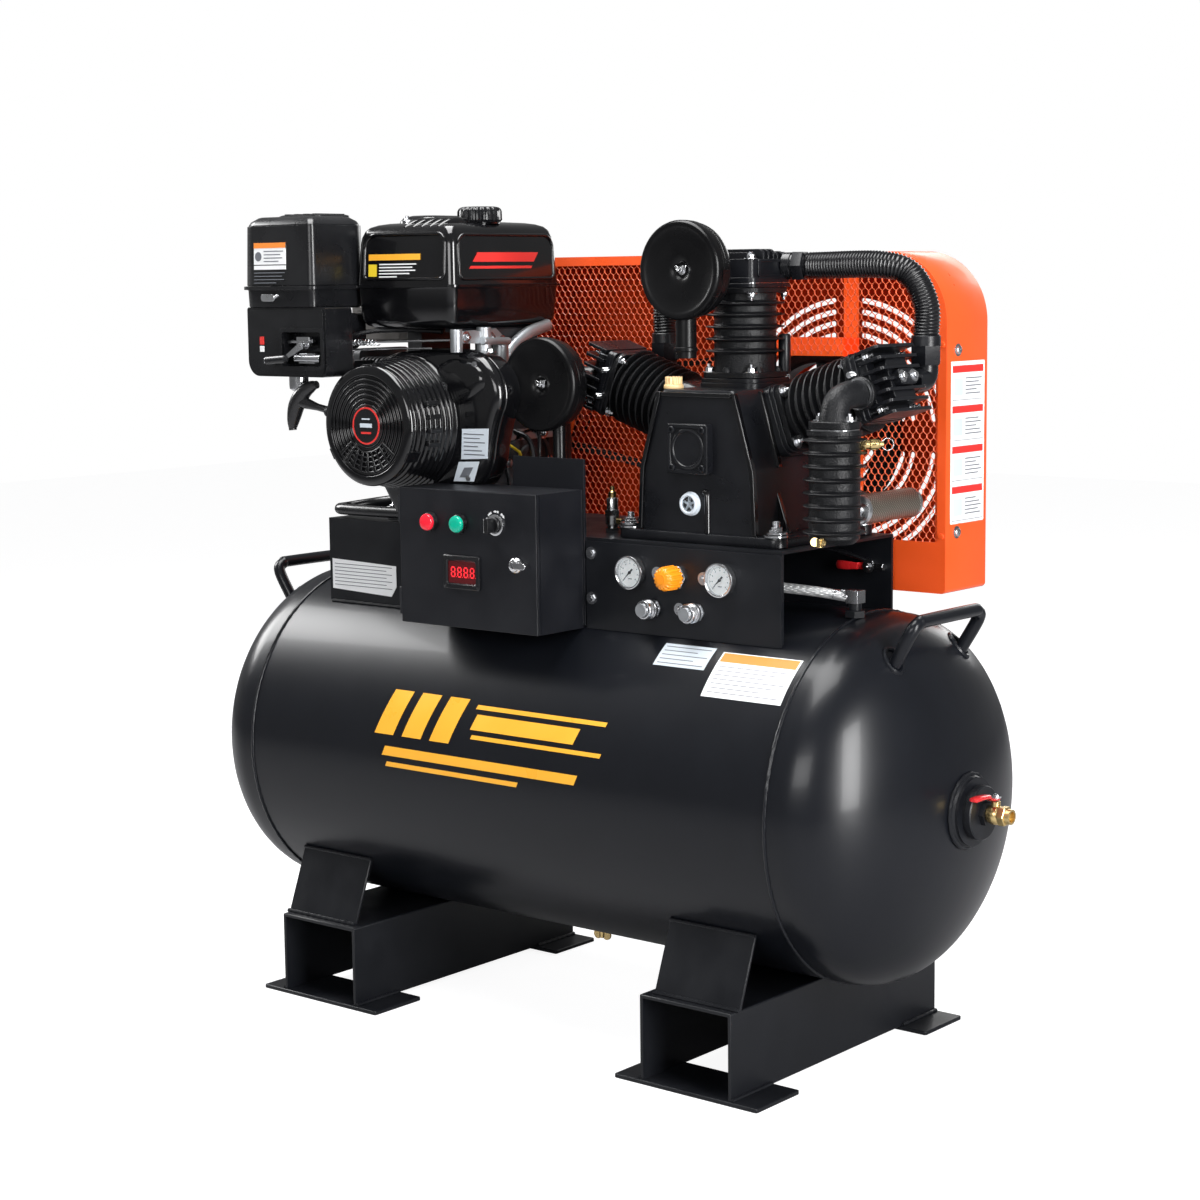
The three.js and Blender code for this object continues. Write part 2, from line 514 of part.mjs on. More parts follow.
function addPlumbing() {
  add('intercooler_hose_right', interstageHose('right', 1), 'hoseRubber');
  add('intercooler_hose_left', interstageHose('left', -1), 'hoseRubber');
  add('aftercooler', aftercooler(), 'castBlack');

  const c = COOLER;
  const relief = turned([[0, 0], [6, 0], [6, 8], [RELIEF.radius, 8], [RELIEF.radius, 26], [4, 26],
    [4, RELIEF.length], [0, RELIEF.length]], RELIEF_AXIS, 12);
  const seat = RELIEF.seat + GAP;
  add('relief_valve', relief, 'brass', [c.x + RELIEF_AXIS.x * seat, c.y + RELIEF_AXIS.y * seat, RELIEF.z]);

  const q = SILENCER;
  const can = turned([[0, 0], [q.neck, 0], [q.neck, q.neckLength], [q.radius, q.neckLength + 4],
    [q.radius, q.length - 14], [q.radius - 7, q.length - 4], [0, q.length]], AXIS.y, 16);
  add('blowdown_silencer', can, 'steel', [c.x, c.y + c.core + 4, q.z]);

  const pilot = turned([[0, 0], [16, 0], [16, 6], [PILOT.radius, 6], [PILOT.radius, 44], [15, 44], [15, 52],
    [8, 52], [8, PILOT.height], [0, PILOT.height]], AXIS.z, 14);
  add('pilot_valve', pilot, 'chrome', [PILOT.x, PILOT.y, DECK.top + GAP]);

  const feed = pipe([[488, -40, 648], [488, -40, 664], [476, -44, 672], [420, -64, 678], [370, -92, 684],
    [342, -99, 684]], 7, 12, 6);
  const union = rod(13, [488, -40, 646.6], [488, -40, 656], 6);
  add('tank_feed_hose', cut(join(feed, union), tankClearance(), block(165, 352 + GAP, -118, -99, 636, 708)), 'steel');
}

function aftercooler() {
  const c = COOLER;
  const fins = [];
  const pitch = (c.top - c.bottom - 34) / c.fins;
  for (let i = 0; i < c.fins; i++) {
    const z = c.bottom + 16 + i * pitch;
    fins.push([c.core, z], [c.radius, z], [c.radius, z + 7], [c.core, z + 7]);
  }
  const bottle = turned([[0, c.bottom - 8], [7, c.bottom - 8], [7, c.bottom], [c.core, c.bottom + 2], ...fins,
    [c.core, c.top - 14], [c.radius - 2, c.top - 14], [c.radius - 2, c.top], [0, c.top]], AXIS.z, 14)
    .translate(c.x, c.y, 0);
  const elbow = pipe([[c.x, c.y, c.top - 4], [c.x, c.y, c.top + 6], [c.x + 1, c.y + 8, c.top + 21],
    [c.x + 4, c.y + 26, c.top + 28], [c.x + 7, -HEAD.half - GAP, c.top + 28]], 21, 8, 12);
  const along = (distance) => [c.x + RELIEF_AXIS.x * distance, c.y + RELIEF_AXIS.y * distance, RELIEF.z];
  const reliefSeat = rod(RELIEF.radius + 2, along(RELIEF.seat), along(c.radius + 9), 12);
  const silencerSeat = rod(SILENCER.radius + 2, [c.x, c.y + c.core + 4 - GAP, SILENCER.z],
    [c.x, c.y + c.radius + 9, SILENCER.z], 16);
  return cut(join(bottle, elbow), headClearance(BANKS.right), barrelClearance(BANKS.right), reliefSeat, silencerSeat);
}

function addDrive() {
  const e = ENGINE;
  const shaft = [[0, 60], [e.shaft, 60], [e.shaft, e.pulleyY0], [e.pulley, e.pulleyY0], [e.pulley, e.pulleyY1],
    [e.shaft, e.pulleyY1], [e.shaft, e.shaftEnd], [0, e.shaftEnd]];
  add('engine_drive_shaft', turned(shaft, AXIS.y, 24), 'steel', [e.x, 0, e.z]);
  const loop = beltLine(BELT.clearance + BELT.thick);
  loop.holes.push(beltLine(BELT.clearance));
  add('drive_belt', plateXZ(loop, BELT.y0, BELT.y1, 8), 'beltRubber');
}

// The closed line around both pulleys, a given distance outside their rims.
function beltLine(offset) {
  const [r0, r1] = [ENGINE.pulley + offset, FLYWHEEL.radius + offset];
  const [dx, dz] = [PUMP.x - ENGINE.x, PUMP.z - ENGINE.z];
  const tilt = Math.atan2(dz, dx);
  const lean = Math.acos((r0 - r1) / Math.hypot(dx, dz));
  const line = new THREE.Shape();
  line.absarc(PUMP.x, PUMP.z, r1, tilt - lean, tilt + lean);
  line.absarc(ENGINE.x, ENGINE.z, r0, tilt + lean, tilt - lean + 2 * Math.PI);
  return line;
}

function arcSlot(radius, quadrant) {
  const a = ARCS;
  const edge = (r) => Math.asin(a.bar / r);
  const [inner, outer] = [radius - a.width / 2, radius + a.width / 2];
  const start = quadrant * Math.PI / 2;
  const slot = new THREE.Shape();
  slot.absarc(ARCS.x, ARCS.z, outer, start + edge(outer), start + Math.PI / 2 - edge(outer));
  slot.absarc(ARCS.x, ARCS.z, inner, start + Math.PI / 2 - edge(inner), start + edge(inner), true);
  return slot;
}

function addGuard() {
  const g = GUARD;
  const sheetOutline = () => roundedRect(g.x0, g.x1, g.z0, g.z1, g.corner, 6);
  const slots = [0, 1].map((upperQuadrant) => arcSlot(ARCS.topRadius, upperQuadrant));
  for (const radius of ARCS.radii) {
    for (let quadrant = 0; quadrant < 4; quadrant++) slots.push(arcSlot(radius, quadrant));
  }
  const rim = sheetOutline();
  const s = g.sheet;
  rim.holes.push(roundedRect(g.x0 + s, g.x1 - s, g.z0 + s, g.z1 - s, g.corner - s, 3));
  const shell = join(plateXZ(rim, g.front + s, g.back, 3), plateXZ(sheetOutline(), g.back - s, g.back, 3));
  const cutters = slots.map((slot) => plateXZ(slot, g.back - 2 * s, g.back + s, ARCS.steps));
  add('belt_guard_shell', cut(shell, ...cutters), 'guardOrange');

  const grille = sheetOutline();
  grille.holes.push(new THREE.Path().absarc(ENGINE.x, ENGINE.z, SHAFT_HOLE, 0, 2 * Math.PI, true));
  const w = PUMP_WINDOW;
  grille.holes.push(outline([[w.x0, w.z0], [w.x1, w.z0], [w.x1, w.z1], [w.x0, w.z1]]));
  add('belt_guard_grille', plateXZ(grille, g.front, g.front + s - GAP, 6), 'guardOrange');
}

function addEngine() {
  const e = ENGINE;
  const h = HOUSING;
  const drainHose = pipe([[-330, -60, 772], [-398, -66, 760], [-433, -92, 753], [-425, -122, 753], [-392, -128, 753],
    [-230, -128, 756], [-205, -118, 758], [-200, -100, 762]], 8.5, 18, 6);
  const casting = join(
    block(-340, -134, -108, 108, DECK.top + GAP, 756),
    block(-326, -134, -118, 112, 750, 988),
    block(-320, -148, h.back + GAP, -110, 812, 976),
    block(-440, -320, -72, 72, 858, 990),
    block(-464, -436, -56, 56, 846, 1002),
    block(-468, -335, -50, 92, 1012, 1122),
    block(-420, -384, 20, 60, 980, 1020),
    block(-310, -280, -80, 30, 980, FUEL_TANK.z0 - GAP),
    block(-170, -140, -80, 30, 980, FUEL_TANK.z0 - GAP),
    drainHose,
  );
  const bore = rod(e.shaft + 2, [e.x, 50, e.z], [e.x, 130, e.z], 20);
  add('engine_block', cut(casting, bore), 'engineBlack');

  const w = h.wall;
  const profile = [[0, -h.nose], [h.recoil - 16, -h.nose], [h.recoil, -h.nose - 12], [h.recoil, -h.front],
    [h.radius, -h.front - 8], [h.radius, -h.back], [h.radius - w, -h.back], [h.radius - w, -h.front - 10],
    [h.recoil - w, -h.front - w], [h.recoil - w, -h.nose - 14], [h.recoil - 18, -h.nose - w], [0, -h.nose - w]];
  add('recoil_housing', turned(profile, OUTWARD, 28), 'engineBlack', [e.x, 0, e.z]);

  const grip = join(rod(11, [0, 0, -34], [0, 0, 34], 12), rod(6, [0, 0, 0], [44, 0, -4], 10));
  add('starter_grip', grip, 'plasticBlack', [-386, -238, 920]);

  const t = FUEL_TANK;
  const seam = block(t.x0 - 4, t.x1 + 4, t.y0 - 4, t.y1 + 4, 1097, 1101);
  const neck = rod(FUEL_CAP.neck, [FUEL_CAP.x, FUEL_CAP.y, t.top - 40], [FUEL_CAP.x, FUEL_CAP.y, t.top + 9], 16);
  add('fuel_tank', cut(join(softBox(t), seam), softBox(t, -t.wall), neck), 'engineBlack');
  const c = FUEL_CAP;
  const cap = turned([[0, 0], [c.radius, 0], [c.radius, c.height - 4], [c.radius - 4, c.height], [0, c.height]],
    AXIS.z, 20);
  add('fuel_cap', cap, 'plasticBlack', [c.x, c.y, t.top + GAP]);

  const a = CLEANER;
  const upper = softBox({ ...a, top: a.z1, corner: 26, bevel: 8 });
  const flange = block(a.x0 - 3, a.x1, a.y0 - 3, a.y1 + 3, a.seamZ - 3, a.seamZ + 3);
  const lower = block(a.x0 + 8, a.x1 - 14, a.y0 + 6, a.y0 + 40, 968, a.z0 + 4);
  const intake = block(-430, -390, a.y0 + 34, -72 - GAP, 970, 986);
  add('air_cleaner', join(upper, flange, lower, intake), 'plasticBlack');
  const lever = join(block(-52, 4, -4, 0, -5, 5), rod(8, [0, -4, 0], [0, -1, 0], 12), block(-58, -46, -14, 0, -7, 7));
  add('throttle_lever', lever, 'steel', [-350, a.y0 + 6 - GAP, 1014]);
}

function addValves() {
  const [u, v] = [BUNG, VALVE];
  const bung = [[0, u.start], [u.flange, u.start], [u.flange, u.flangeEnd], [u.hex, u.flangeEnd], [u.hex, u.hexEnd],
    [v.body, u.hexEnd], [v.body, v.hexStart], [v.hex, v.hexStart], [v.hex, u.end], [0, u.end]];
  const stem = rod(5, [v.pivotX, 0, 0], [v.pivotX, 0, v.stem], 10);
  add('end_valve', join(turned(bung, AXIS.x, 18), stem), 'brass', [0, 0, TANK.axisZ]);
  const handleBar = join(rod(8, [0, 0, 0], [0, 0, 5], 12), block(-6, 6, -v.leverLength, 5, 1, 4));
  add('end_valve_lever', handleBar, 'leverRed', [v.pivotX, 0, TANK.axisZ + v.stem + GAP]);

  const shutoff = join(rod(9, [0, -8, 0], [0, 0, 0], 12), block(-50, 5, -6, -2, -6, 6));
  add('shutoff_lever', shutoff, 'leverRed', [399, DECK.back - DECK.plate - GAP, 692]);

  const drain = join(rod(8, [0, 0, -14], [0, 0, 0], 12), rod(5, [0, 0, -24], [0, 0, -13], 10),
    block(-14, 14, -2, 2, -22, -15));
  add('tank_drain', drain, 'brass', [0, 0, TANK.axisZ - TANK.radius - GAP]);
}

addTank();
addSaddles();
addDeck();
addGaugePanel();
addControlBox();
addPump();
addFilters();
addPlumbing();
addDrive();
addGuard();
addEngine();
addValves();

// The finished part stands on z = 0 with its box centred on the origin.
const product = new THREE.Group();
product.add(model);
const span = new THREE.Box3().setFromObject(model);
model.position.set(-(span.min.x + span.max.x) / 2, -(span.min.y + span.max.y) / 2, -span.min.z);

export default product;
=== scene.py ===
# Visual model of an engine-driven air compressor on a horizontal tank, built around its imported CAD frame.
# Shapes are drawn in design millimetres: x = y = 0 is the tank's middle and z = 0 is the floor.
import math
import random

import bmesh
import bpy
from mathutils import Matrix, Vector
from mathutils.geometry import tessellate_polygon


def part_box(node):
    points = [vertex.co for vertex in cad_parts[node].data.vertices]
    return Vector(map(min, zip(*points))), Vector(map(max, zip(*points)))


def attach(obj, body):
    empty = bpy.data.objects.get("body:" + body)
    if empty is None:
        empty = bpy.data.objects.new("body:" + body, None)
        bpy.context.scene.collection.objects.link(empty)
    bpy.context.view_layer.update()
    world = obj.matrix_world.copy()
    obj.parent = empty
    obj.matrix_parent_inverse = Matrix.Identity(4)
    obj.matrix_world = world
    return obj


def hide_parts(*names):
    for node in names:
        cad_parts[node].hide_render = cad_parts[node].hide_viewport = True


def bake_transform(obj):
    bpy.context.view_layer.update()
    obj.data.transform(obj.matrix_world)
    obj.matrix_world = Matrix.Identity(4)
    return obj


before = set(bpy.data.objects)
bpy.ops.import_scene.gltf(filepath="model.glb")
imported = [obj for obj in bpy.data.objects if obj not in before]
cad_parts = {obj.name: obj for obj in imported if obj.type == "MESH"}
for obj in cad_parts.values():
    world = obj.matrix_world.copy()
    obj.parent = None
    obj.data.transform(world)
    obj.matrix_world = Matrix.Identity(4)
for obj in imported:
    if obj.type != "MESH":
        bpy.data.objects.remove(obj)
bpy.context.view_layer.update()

MM = 0.001
SHELL_LOW, SHELL_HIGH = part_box("tank_shell")
ORIGIN = Vector(((SHELL_LOW.x + SHELL_HIGH.x) / 2, (SHELL_LOW.y + SHELL_HIGH.y) / 2, 0))
TAU = 2 * math.pi
X, Y, Z = Vector((1, 0, 0)), Vector((0, 1, 0)), Vector((0, 0, 1))
FRONT = -Y                      # towards the control side
BEVEL_ANGLE = 38                # degrees
rng = random.Random(7)


# ---- shapes ----
def facing(at, axis):
    """A matrix that puts a shape drawn about +Z at a point, turned to an axis."""
    return Matrix.Translation(Vector(at)) @ Vector(axis).to_track_quat("Z", "Y").to_matrix().to_4x4()


def spline(a, b, c, d, samples):
    """Points of a Catmull-Rom curve from b up to, but without, c."""
    steps = [k / samples for k in range(samples)]
    return [0.5 * (2 * b + (c - a) * t + (2 * a - 5 * b + 4 * c - d) * t * t
                   + (3 * b - a - 3 * c + d) * t ** 3)
            for t in steps]


def smooth_path(points, samples):
    """Smooth open curve through the points."""
    p = [Vector(q) for q in points]
    p = [2 * p[0] - p[1]] + p + [2 * p[-1] - p[-2]]
    path = []
    for a, b, c, d in zip(p, p[1:], p[2:], p[3:]):
        path += spline(a, b, c, d, samples)
    return path + [p[-2]]


def even_path(points, step):
    """The smooth curve through the points, resampled at even steps of arc length."""
    fine = smooth_path(points, 40)
    lengths = [0.0]
    for a, b in zip(fine, fine[1:]):
        lengths.append(lengths[-1] + (b - a).length)
    count = max(2, round(lengths[-1] / step))
    path, i = [], 0
    for k in range(count + 1):
        s = lengths[-1] * k / count
        while i < len(fine) - 2 and lengths[i + 1] < s:
            i += 1
        t = (s - lengths[i]) / max(lengths[i + 1] - lengths[i], 1e-9)
        path.append(fine[i].lerp(fine[i + 1], t))
    return path


def rounded(x0, x1, y0, y1, radii, steps=8):
    """Rounded rectangle, with radii at (x1,y1), (x0,y1), (x0,y0), (x1,y0)."""
    if not isinstance(radii, (tuple, list)):
        radii = (radii,) * 4
    points = []
    for k, (cx, cy, sx, sy) in enumerate(((x1, y1, -1, -1), (x0, y1, 1, -1), (x0, y0, 1, 1),
                                          (x1, y0, -1, 1))):
        r = radii[k]
        for i in range(steps + 1):
            a = (k + i / steps) * math.pi / 2
            points.append((cx + sx * r + r * math.cos(a), cy + sy * r + r * math.sin(a)))
    return points


def angles(count):
    """The angles of evenly spaced points around a circle."""
    return [TAU * k / count for k in range(count)]


class Geo:
    """Collects closed surfaces and turns them into one object."""

    def __init__(self):
        self.verts, self.faces = [], []

    def add(self, verts, faces, matrix=None):
        """Takes in points and the faces that index them."""
        base = len(self.verts)
        self.verts += [tuple(matrix @ Vector(v)) if matrix else tuple(v) for v in verts]
        self.faces += [tuple(base + i for i in f) for f in faces]
        return self

    def lathe(self, profile, at=(0, 0, 0), axis=Z, segs=48, closed=False, matrix=None):
        """Turns (radius, height) points about an axis."""
        verts, rings, faces = [], [], []
        for r, h in profile:
            start = len(verts)
            if r < 1e-6:
                verts.append((0, 0, h))
                rings.append([start] * segs)
            else:
                verts += [(r * math.cos(TAU * i / segs), r * math.sin(TAU * i / segs), h)
                          for i in range(segs)]
                rings.append(list(range(start, start + segs)))
        for a, b in zip(rings, rings[1:] + (rings[:1] if closed else [])):
            for i in range(segs):
                j = (i + 1) % segs
                face = tuple(dict.fromkeys((a[i], a[j], b[j], b[i])))
                if len(face) > 2:
                    faces.append(face)
        place = facing(at, axis)
        return self.add(verts, faces, matrix @ place if matrix else place)

    def tube(self, path, radius, segs=14, closed=False):
        """Sweeps a circle along a path; the radius may change with the step."""
        path = [Vector(p) for p in path]
        n = len(path)
        side = (path[1] - path[0]).orthogonal().normalized()
        verts, faces = [], []
        for k, p in enumerate(path):
            ahead = path[(k + 1) % n] if closed or k < n - 1 else p
            behind = path[k - 1] if closed or k else p
            tangent = (ahead - behind).normalized()
            side = (side - tangent * side.dot(tangent)).normalized()
            other = tangent.cross(side)
            r = radius(k) if callable(radius) else radius
            for i in range(segs):
                a = TAU * i / segs
                verts.append(p + r * (side * math.cos(a) + other * math.sin(a)))
        for k in range(n if closed else n - 1):
            m = (k + 1) % n
            for i in range(segs):
                j = (i + 1) % segs
                faces.append((k * segs + i, k * segs + j, m * segs + j, m * segs + i))
        if not closed:
            faces += [tuple(range(segs)), tuple(range((n - 1) * segs, n * segs))]
        return self.add(verts, faces)

    def prism(self, outline, axis, a, b, matrix=None):
        """Draws an outline in the plane across an axis ("x", "y" or "z") and extrudes it from a to b."""
        put = {"x": lambda p, t: (t, p[0], p[1]), "y": lambda p, t: (p[0], t, p[1]),
               "z": lambda p, t: (p[0], p[1], t)}[axis]
        n = len(outline)
        faces = [tuple(range(n)), tuple(range(n, 2 * n))]
        faces += [(i, (i + 1) % n, n + (i + 1) % n, n + i) for i in range(n)]
        return self.add([put(p, a) for p in outline] + [put(p, b) for p in outline], faces, matrix)

    def loft(self, loops, closed=False):
        """Joins loops of equally many points, and caps the ends."""
        n = len(loops[0])
        faces = [] if closed else [tuple(range(n)), tuple(range((len(loops) - 1) * n, len(loops) * n))]
        for k in range(len(loops) - (0 if closed else 1)):
            m = (k + 1) % len(loops)
            faces += [(k * n + i, k * n + (i + 1) % n, m * n + (i + 1) % n, m * n + i) for i in range(n)]
        return self.add([p for loop in loops for p in loop], faces)

    def box(self, x0, x1, y0, y1, z0, z1, matrix=None):
        """A block between two limits on each axis."""
        return self.prism([(x0, y0), (x1, y0), (x1, y1), (x0, y1)], "z", z0, z1, matrix)

    def rod(self, a, b, radius, segs=20, chamfer=0.6):
        """A chamfered bar from a to b; six segments make a hexagon."""
        length = (Vector(b) - Vector(a)).length
        return self.lathe([(0, 0), (radius - chamfer, 0), (radius, chamfer), (radius, length - chamfer),
                           (radius - chamfer, length), (0, length)], a, Vector(b) - Vector(a), segs)

    def bolt(self, at, axis, r=7.0, h=6.0, stub=0.0, washer=1.8, matrix=None):
        """Hexagon head or nut on a washer, with an optional thread stub."""
        self.lathe([(0, 0), (r * 1.75, 0), (r * 1.75, washer), (0, washer)], at, axis, 24, matrix=matrix)
        top = washer + h
        self.lathe([(0, washer - 0.2), (r, washer - 0.2), (r, top - 1), (r * 0.86, top), (0, top)], at,
                   axis, 6, matrix=matrix)
        if stub:
            turns = [(r * 0.52 - (k % 2) * 0.5, top + stub * k / 8) for k in range(9)]
            self.lathe([(0, top - 1)] + turns + [(0, top + stub)], at, axis, 16, matrix=matrix)
        return self

    def out(self, name, finish, body="root", stands_for=(), bevel=0.0, steps=2, angle=35, flat=False):
        """Makes the object, lets it ride on a body, and hides the CAD node it stands for."""
        mesh = bpy.data.meshes.new(name)
        mesh.from_pydata([(x * MM + ORIGIN.x, y * MM + ORIGIN.y, z * MM) for x, y, z in self.verts], [],
                         self.faces)
        bm = bmesh.new()
        bm.from_mesh(mesh)
        bmesh.ops.recalc_face_normals(bm, faces=bm.faces)
        bm.to_mesh(mesh)
        bm.free()
        if not flat:
            mesh.shade_smooth()
            mesh.set_sharp_from_angle(angle=math.radians(angle))
        obj = bpy.data.objects.new(name, mesh)
        bpy.context.scene.collection.objects.link(obj)
        mesh.materials.append(finish)
        if bevel:
            round_edges(obj, bevel, steps)
        if body:
            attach(obj, body)
        if stands_for:
            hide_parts(*([stands_for] if isinstance(stands_for, str) else stands_for))
        return obj


def round_edges(obj, width, steps=2):
    """Rounds the edges that are sharper than BEVEL_ANGLE."""
    bevel = obj.modifiers.new("round", "BEVEL")
    bevel.width = width * MM
    bevel.segments = steps
    bevel.limit_method = "ANGLE"
    bevel.angle_limit = math.radians(BEVEL_ANGLE)
    bevel.use_clamp_overlap = True


def dress(node, finish, width=1.2):
    """Gives a CAD node its finish and rounds its edges, leaving its mesh as it is."""
    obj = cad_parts[node]
    obj.data.materials.clear()
    obj.data.materials.append(finish)
    weld = obj.modifiers.new("weld", "WELD")
    weld.merge_threshold = 0.01 * MM
    if width:
        round_edges(obj, width)
    return obj


# ---- finishes ----
def material(name, color, rough, metal=0.0, coat=0.0, bump=0.1, grain=700.0, mottle=0.12, spread=0.25,
             pattern=None, second=None, glow=0.0, depth=0.0003, clear=0.0, shine=0.5):
    """A finish with mottled colour, uneven roughness and a fine surface bump, all from noise."""
    m = bpy.data.materials.new(name)
    m.use_nodes = True
    nodes, links = m.node_tree.nodes, m.node_tree.links
    shader = nodes["Principled BSDF"]
    place = nodes.new("ShaderNodeTexCoord").outputs["Object"]

    def noise(scale, detail):
        n = nodes.new("ShaderNodeTexNoise")
        n.inputs["Scale"].default_value = scale
        n.inputs["Detail"].default_value = detail
        links.new(place, n.inputs["Vector"])
        return n.outputs["Fac"]

    def spread_to(source, low, high):
        r = nodes.new("ShaderNodeMapRange")
        r.inputs["From Min"].default_value = 0.3
        r.inputs["From Max"].default_value = 0.7
        r.inputs["To Min"].default_value = low
        r.inputs["To Max"].default_value = high
        links.new(source, r.inputs["Value"])
        return r.outputs["Result"]

    wide, fine = noise(14, 5), noise(grain, 3)
    mix = nodes.new("ShaderNodeMix")
    mix.data_type = "RGBA"
    dark = [c * (1 - mottle) for c in color]
    light = list(second) if second else [min(1.0, c * (1 + mottle)) for c in color]
    mix.inputs["A"].default_value = (*dark, 1)
    mix.inputs["B"].default_value = (*light, 1)
    height = fine
    if pattern == "braid":
        height = braid(nodes, links, place)
        links.new(height, mix.inputs["Factor"])
    else:
        links.new(spread_to(fine if second else wide, 0, 1), mix.inputs["Factor"])
    links.new(mix.outputs["Result"], shader.inputs["Base Color"])
    links.new(spread_to(wide, rough * (1 - spread), rough * (1 + spread)), shader.inputs["Roughness"])
    shader.inputs["Metallic"].default_value = metal
    shader.inputs["Specular IOR Level"].default_value = shine
    shader.inputs["Coat Weight"].default_value = coat
    shader.inputs["Coat Roughness"].default_value = 0.07
    shader.inputs["Transmission Weight"].default_value = clear
    if glow:
        shader.inputs["Emission Color"].default_value = (*color, 1)
        shader.inputs["Emission Strength"].default_value = glow
    relief = nodes.new("ShaderNodeBump")
    relief.inputs["Strength"].default_value = bump
    relief.inputs["Distance"].default_value = depth
    links.new(height, relief.inputs["Height"])
    links.new(relief.outputs["Normal"], shader.inputs["Normal"])
    return m


def braid(nodes, links, place):
    """Two crossing sets of fine diagonal bands, as in woven wire."""
    waves = []
    for turn in (0.7, -0.7):
        mapping = nodes.new("ShaderNodeMapping")
        mapping.inputs["Rotation"].default_value = (turn, 0, turn)
        links.new(place, mapping.inputs["Vector"])
        wave = nodes.new("ShaderNodeTexWave")
        wave.bands_direction = "Z"
        wave.inputs["Scale"].default_value = 95
        links.new(mapping.outputs["Vector"], wave.inputs["Vector"])
        waves.append(wave.outputs["Fac"])
    both = nodes.new("ShaderNodeMath")
    both.operation = "MULTIPLY"
    links.new(waves[0], both.inputs[0])
    links.new(waves[1], both.inputs[1])
    return both.outputs[0]


TANK_PAINT = material("tank_paint", (0.0052, 0.0060, 0.0085), 0.29, coat=0.08, bump=0.015, grain=260,
                      mottle=0.08, spread=0.03, shine=0.30)
FRAME_PAINT = material("frame_paint", (0.0065, 0.0072, 0.0094), 0.38, bump=0.14, grain=1500, shine=0.34)
BOX_PAINT = material("box_paint", (0.0070, 0.0076, 0.0102), 0.38, bump=0.12, grain=1800, shine=0.34)
CASTING = material("pump_casting", (0.0060, 0.0063, 0.0074), 0.36, bump=1.0, grain=420, mottle=0.3,
                   depth=0.0009, shine=0.26)
SMOOTH_CAST = material("smooth_casting", (0.0058, 0.0063, 0.0082), 0.32, bump=0.22, grain=420, mottle=0.2,
                       shine=0.4)
ENGINE = material("engine_gloss", (0.0030, 0.0031, 0.0038), 0.16, coat=0.55, bump=0.05, grain=120,
                  shine=0.35)
ENGINE_CAST = material("engine_casting", (0.0300, 0.0310, 0.0340), 0.45, metal=0.3, bump=0.5, grain=480,
                       mottle=0.3)
ORANGE = material("guard_paint", (0.900, 0.100, 0.016), 0.36, coat=0.15, bump=0.08, grain=900, mottle=0.05)
RUBBER = material("belt_rubber", (0.0110, 0.0110, 0.0115), 0.75, bump=0.4, grain=900, shine=0.3)
HOSE = material("hose_sleeve", (0.0055, 0.0055, 0.0066), 0.27, bump=0.12, grain=700, shine=0.45)
PLASTIC = material("black_plastic", (0.0060, 0.0062, 0.0072), 0.34, bump=0.2, grain=1700, shine=0.4)
SATIN = material("satin_plastic", (0.0070, 0.0073, 0.0086), 0.28, coat=0.12, bump=0.08, grain=900, shine=0.4)
ZINC = material("zinc_plate", (0.62, 0.63, 0.65), 0.26, metal=1.0, bump=0.12, grain=900, mottle=0.15)
STEEL = material("bright_steel", (0.70, 0.71, 0.73), 0.22, metal=1.0, bump=0.08, grain=1200)
BRAID = material("braided_steel", (0.25, 0.225, 0.19), 0.34, metal=1.0, bump=0.9, second=(0.66, 0.60, 0.50),
                 pattern="braid", depth=0.0008)
CHROME = material("chrome", (0.80, 0.81, 0.83), 0.09, metal=1.0, bump=0.03, grain=300)
BRASS = material("brass", (0.74, 0.55, 0.25), 0.24, metal=1.0, bump=0.15, grain=800, mottle=0.2)
ALLOY = material("bracket_alloy", (0.46, 0.48, 0.50), 0.38, metal=0.85, bump=0.35, grain=700, mottle=0.2)
EXHAUST = material("exhaust_steel", (0.20, 0.19, 0.18), 0.48, metal=0.9, bump=0.4, grain=500, mottle=0.3)
KNOB_ORANGE = material("knob_orange", (0.92, 0.30, 0.012), 0.30, bump=0.08, grain=900, mottle=0.06)
CREAM = material("plug_plastic", (0.86, 0.60, 0.30), 0.35, bump=0.08, grain=900, mottle=0.06)
RED_VINYL = material("red_vinyl", (0.58, 0.015, 0.018), 0.28, coat=0.3, bump=0.1, grain=700)
RED_LENS = material("red_lens", (0.75, 0.012, 0.03), 0.18, coat=0.6, bump=0.05, glow=0.25)
GREEN_LENS = material("green_lens", (0.0, 0.42, 0.27), 0.18, coat=0.6, bump=0.05, glow=0.2)
PAPER = material("label_white", (0.86, 0.87, 0.88), 0.42, bump=0.05, grain=500, mottle=0.02)
PALE_PAPER = material("label_silver", (0.60, 0.66, 0.72), 0.36, bump=0.05, grain=500, mottle=0.04)
BAND_ORANGE = material("label_orange", (0.90, 0.26, 0.03), 0.42, bump=0.05, mottle=0.03)
STRIPE = material("stripe_paint", (0.93, 0.44, 0.035), 0.34, bump=0.06, mottle=0.04)
BAND_RED = material("label_red", (0.70, 0.03, 0.025), 0.42, bump=0.05, mottle=0.03)
INK = material("label_ink", (0.035, 0.035, 0.04), 0.5, bump=0.05)
GREY_INK = material("label_grey_ink", (0.13, 0.14, 0.16), 0.5, bump=0.05)
# The dial's glow is painted light that keeps the white face bright behind the glass.
DIAL_PAINTED_GLOW = material("dial_white_painted_glow", (0.88, 0.89, 0.89), 0.4, bump=0.02, mottle=0.02, glow=0.30)
DISC_BLACK = material("filter_paint", (0.0035, 0.0035, 0.0040), 0.30, bump=0.06, grain=900, shine=0.22)
# The strips' glow is painted light: it makes them brighter than the lamps light them behind the mesh.
STRIP_PAINTED_GLOW = material("guard_strip_painted_glow", (0.900, 0.110, 0.018), 0.36, bump=0.08, grain=900, glow=0.42)
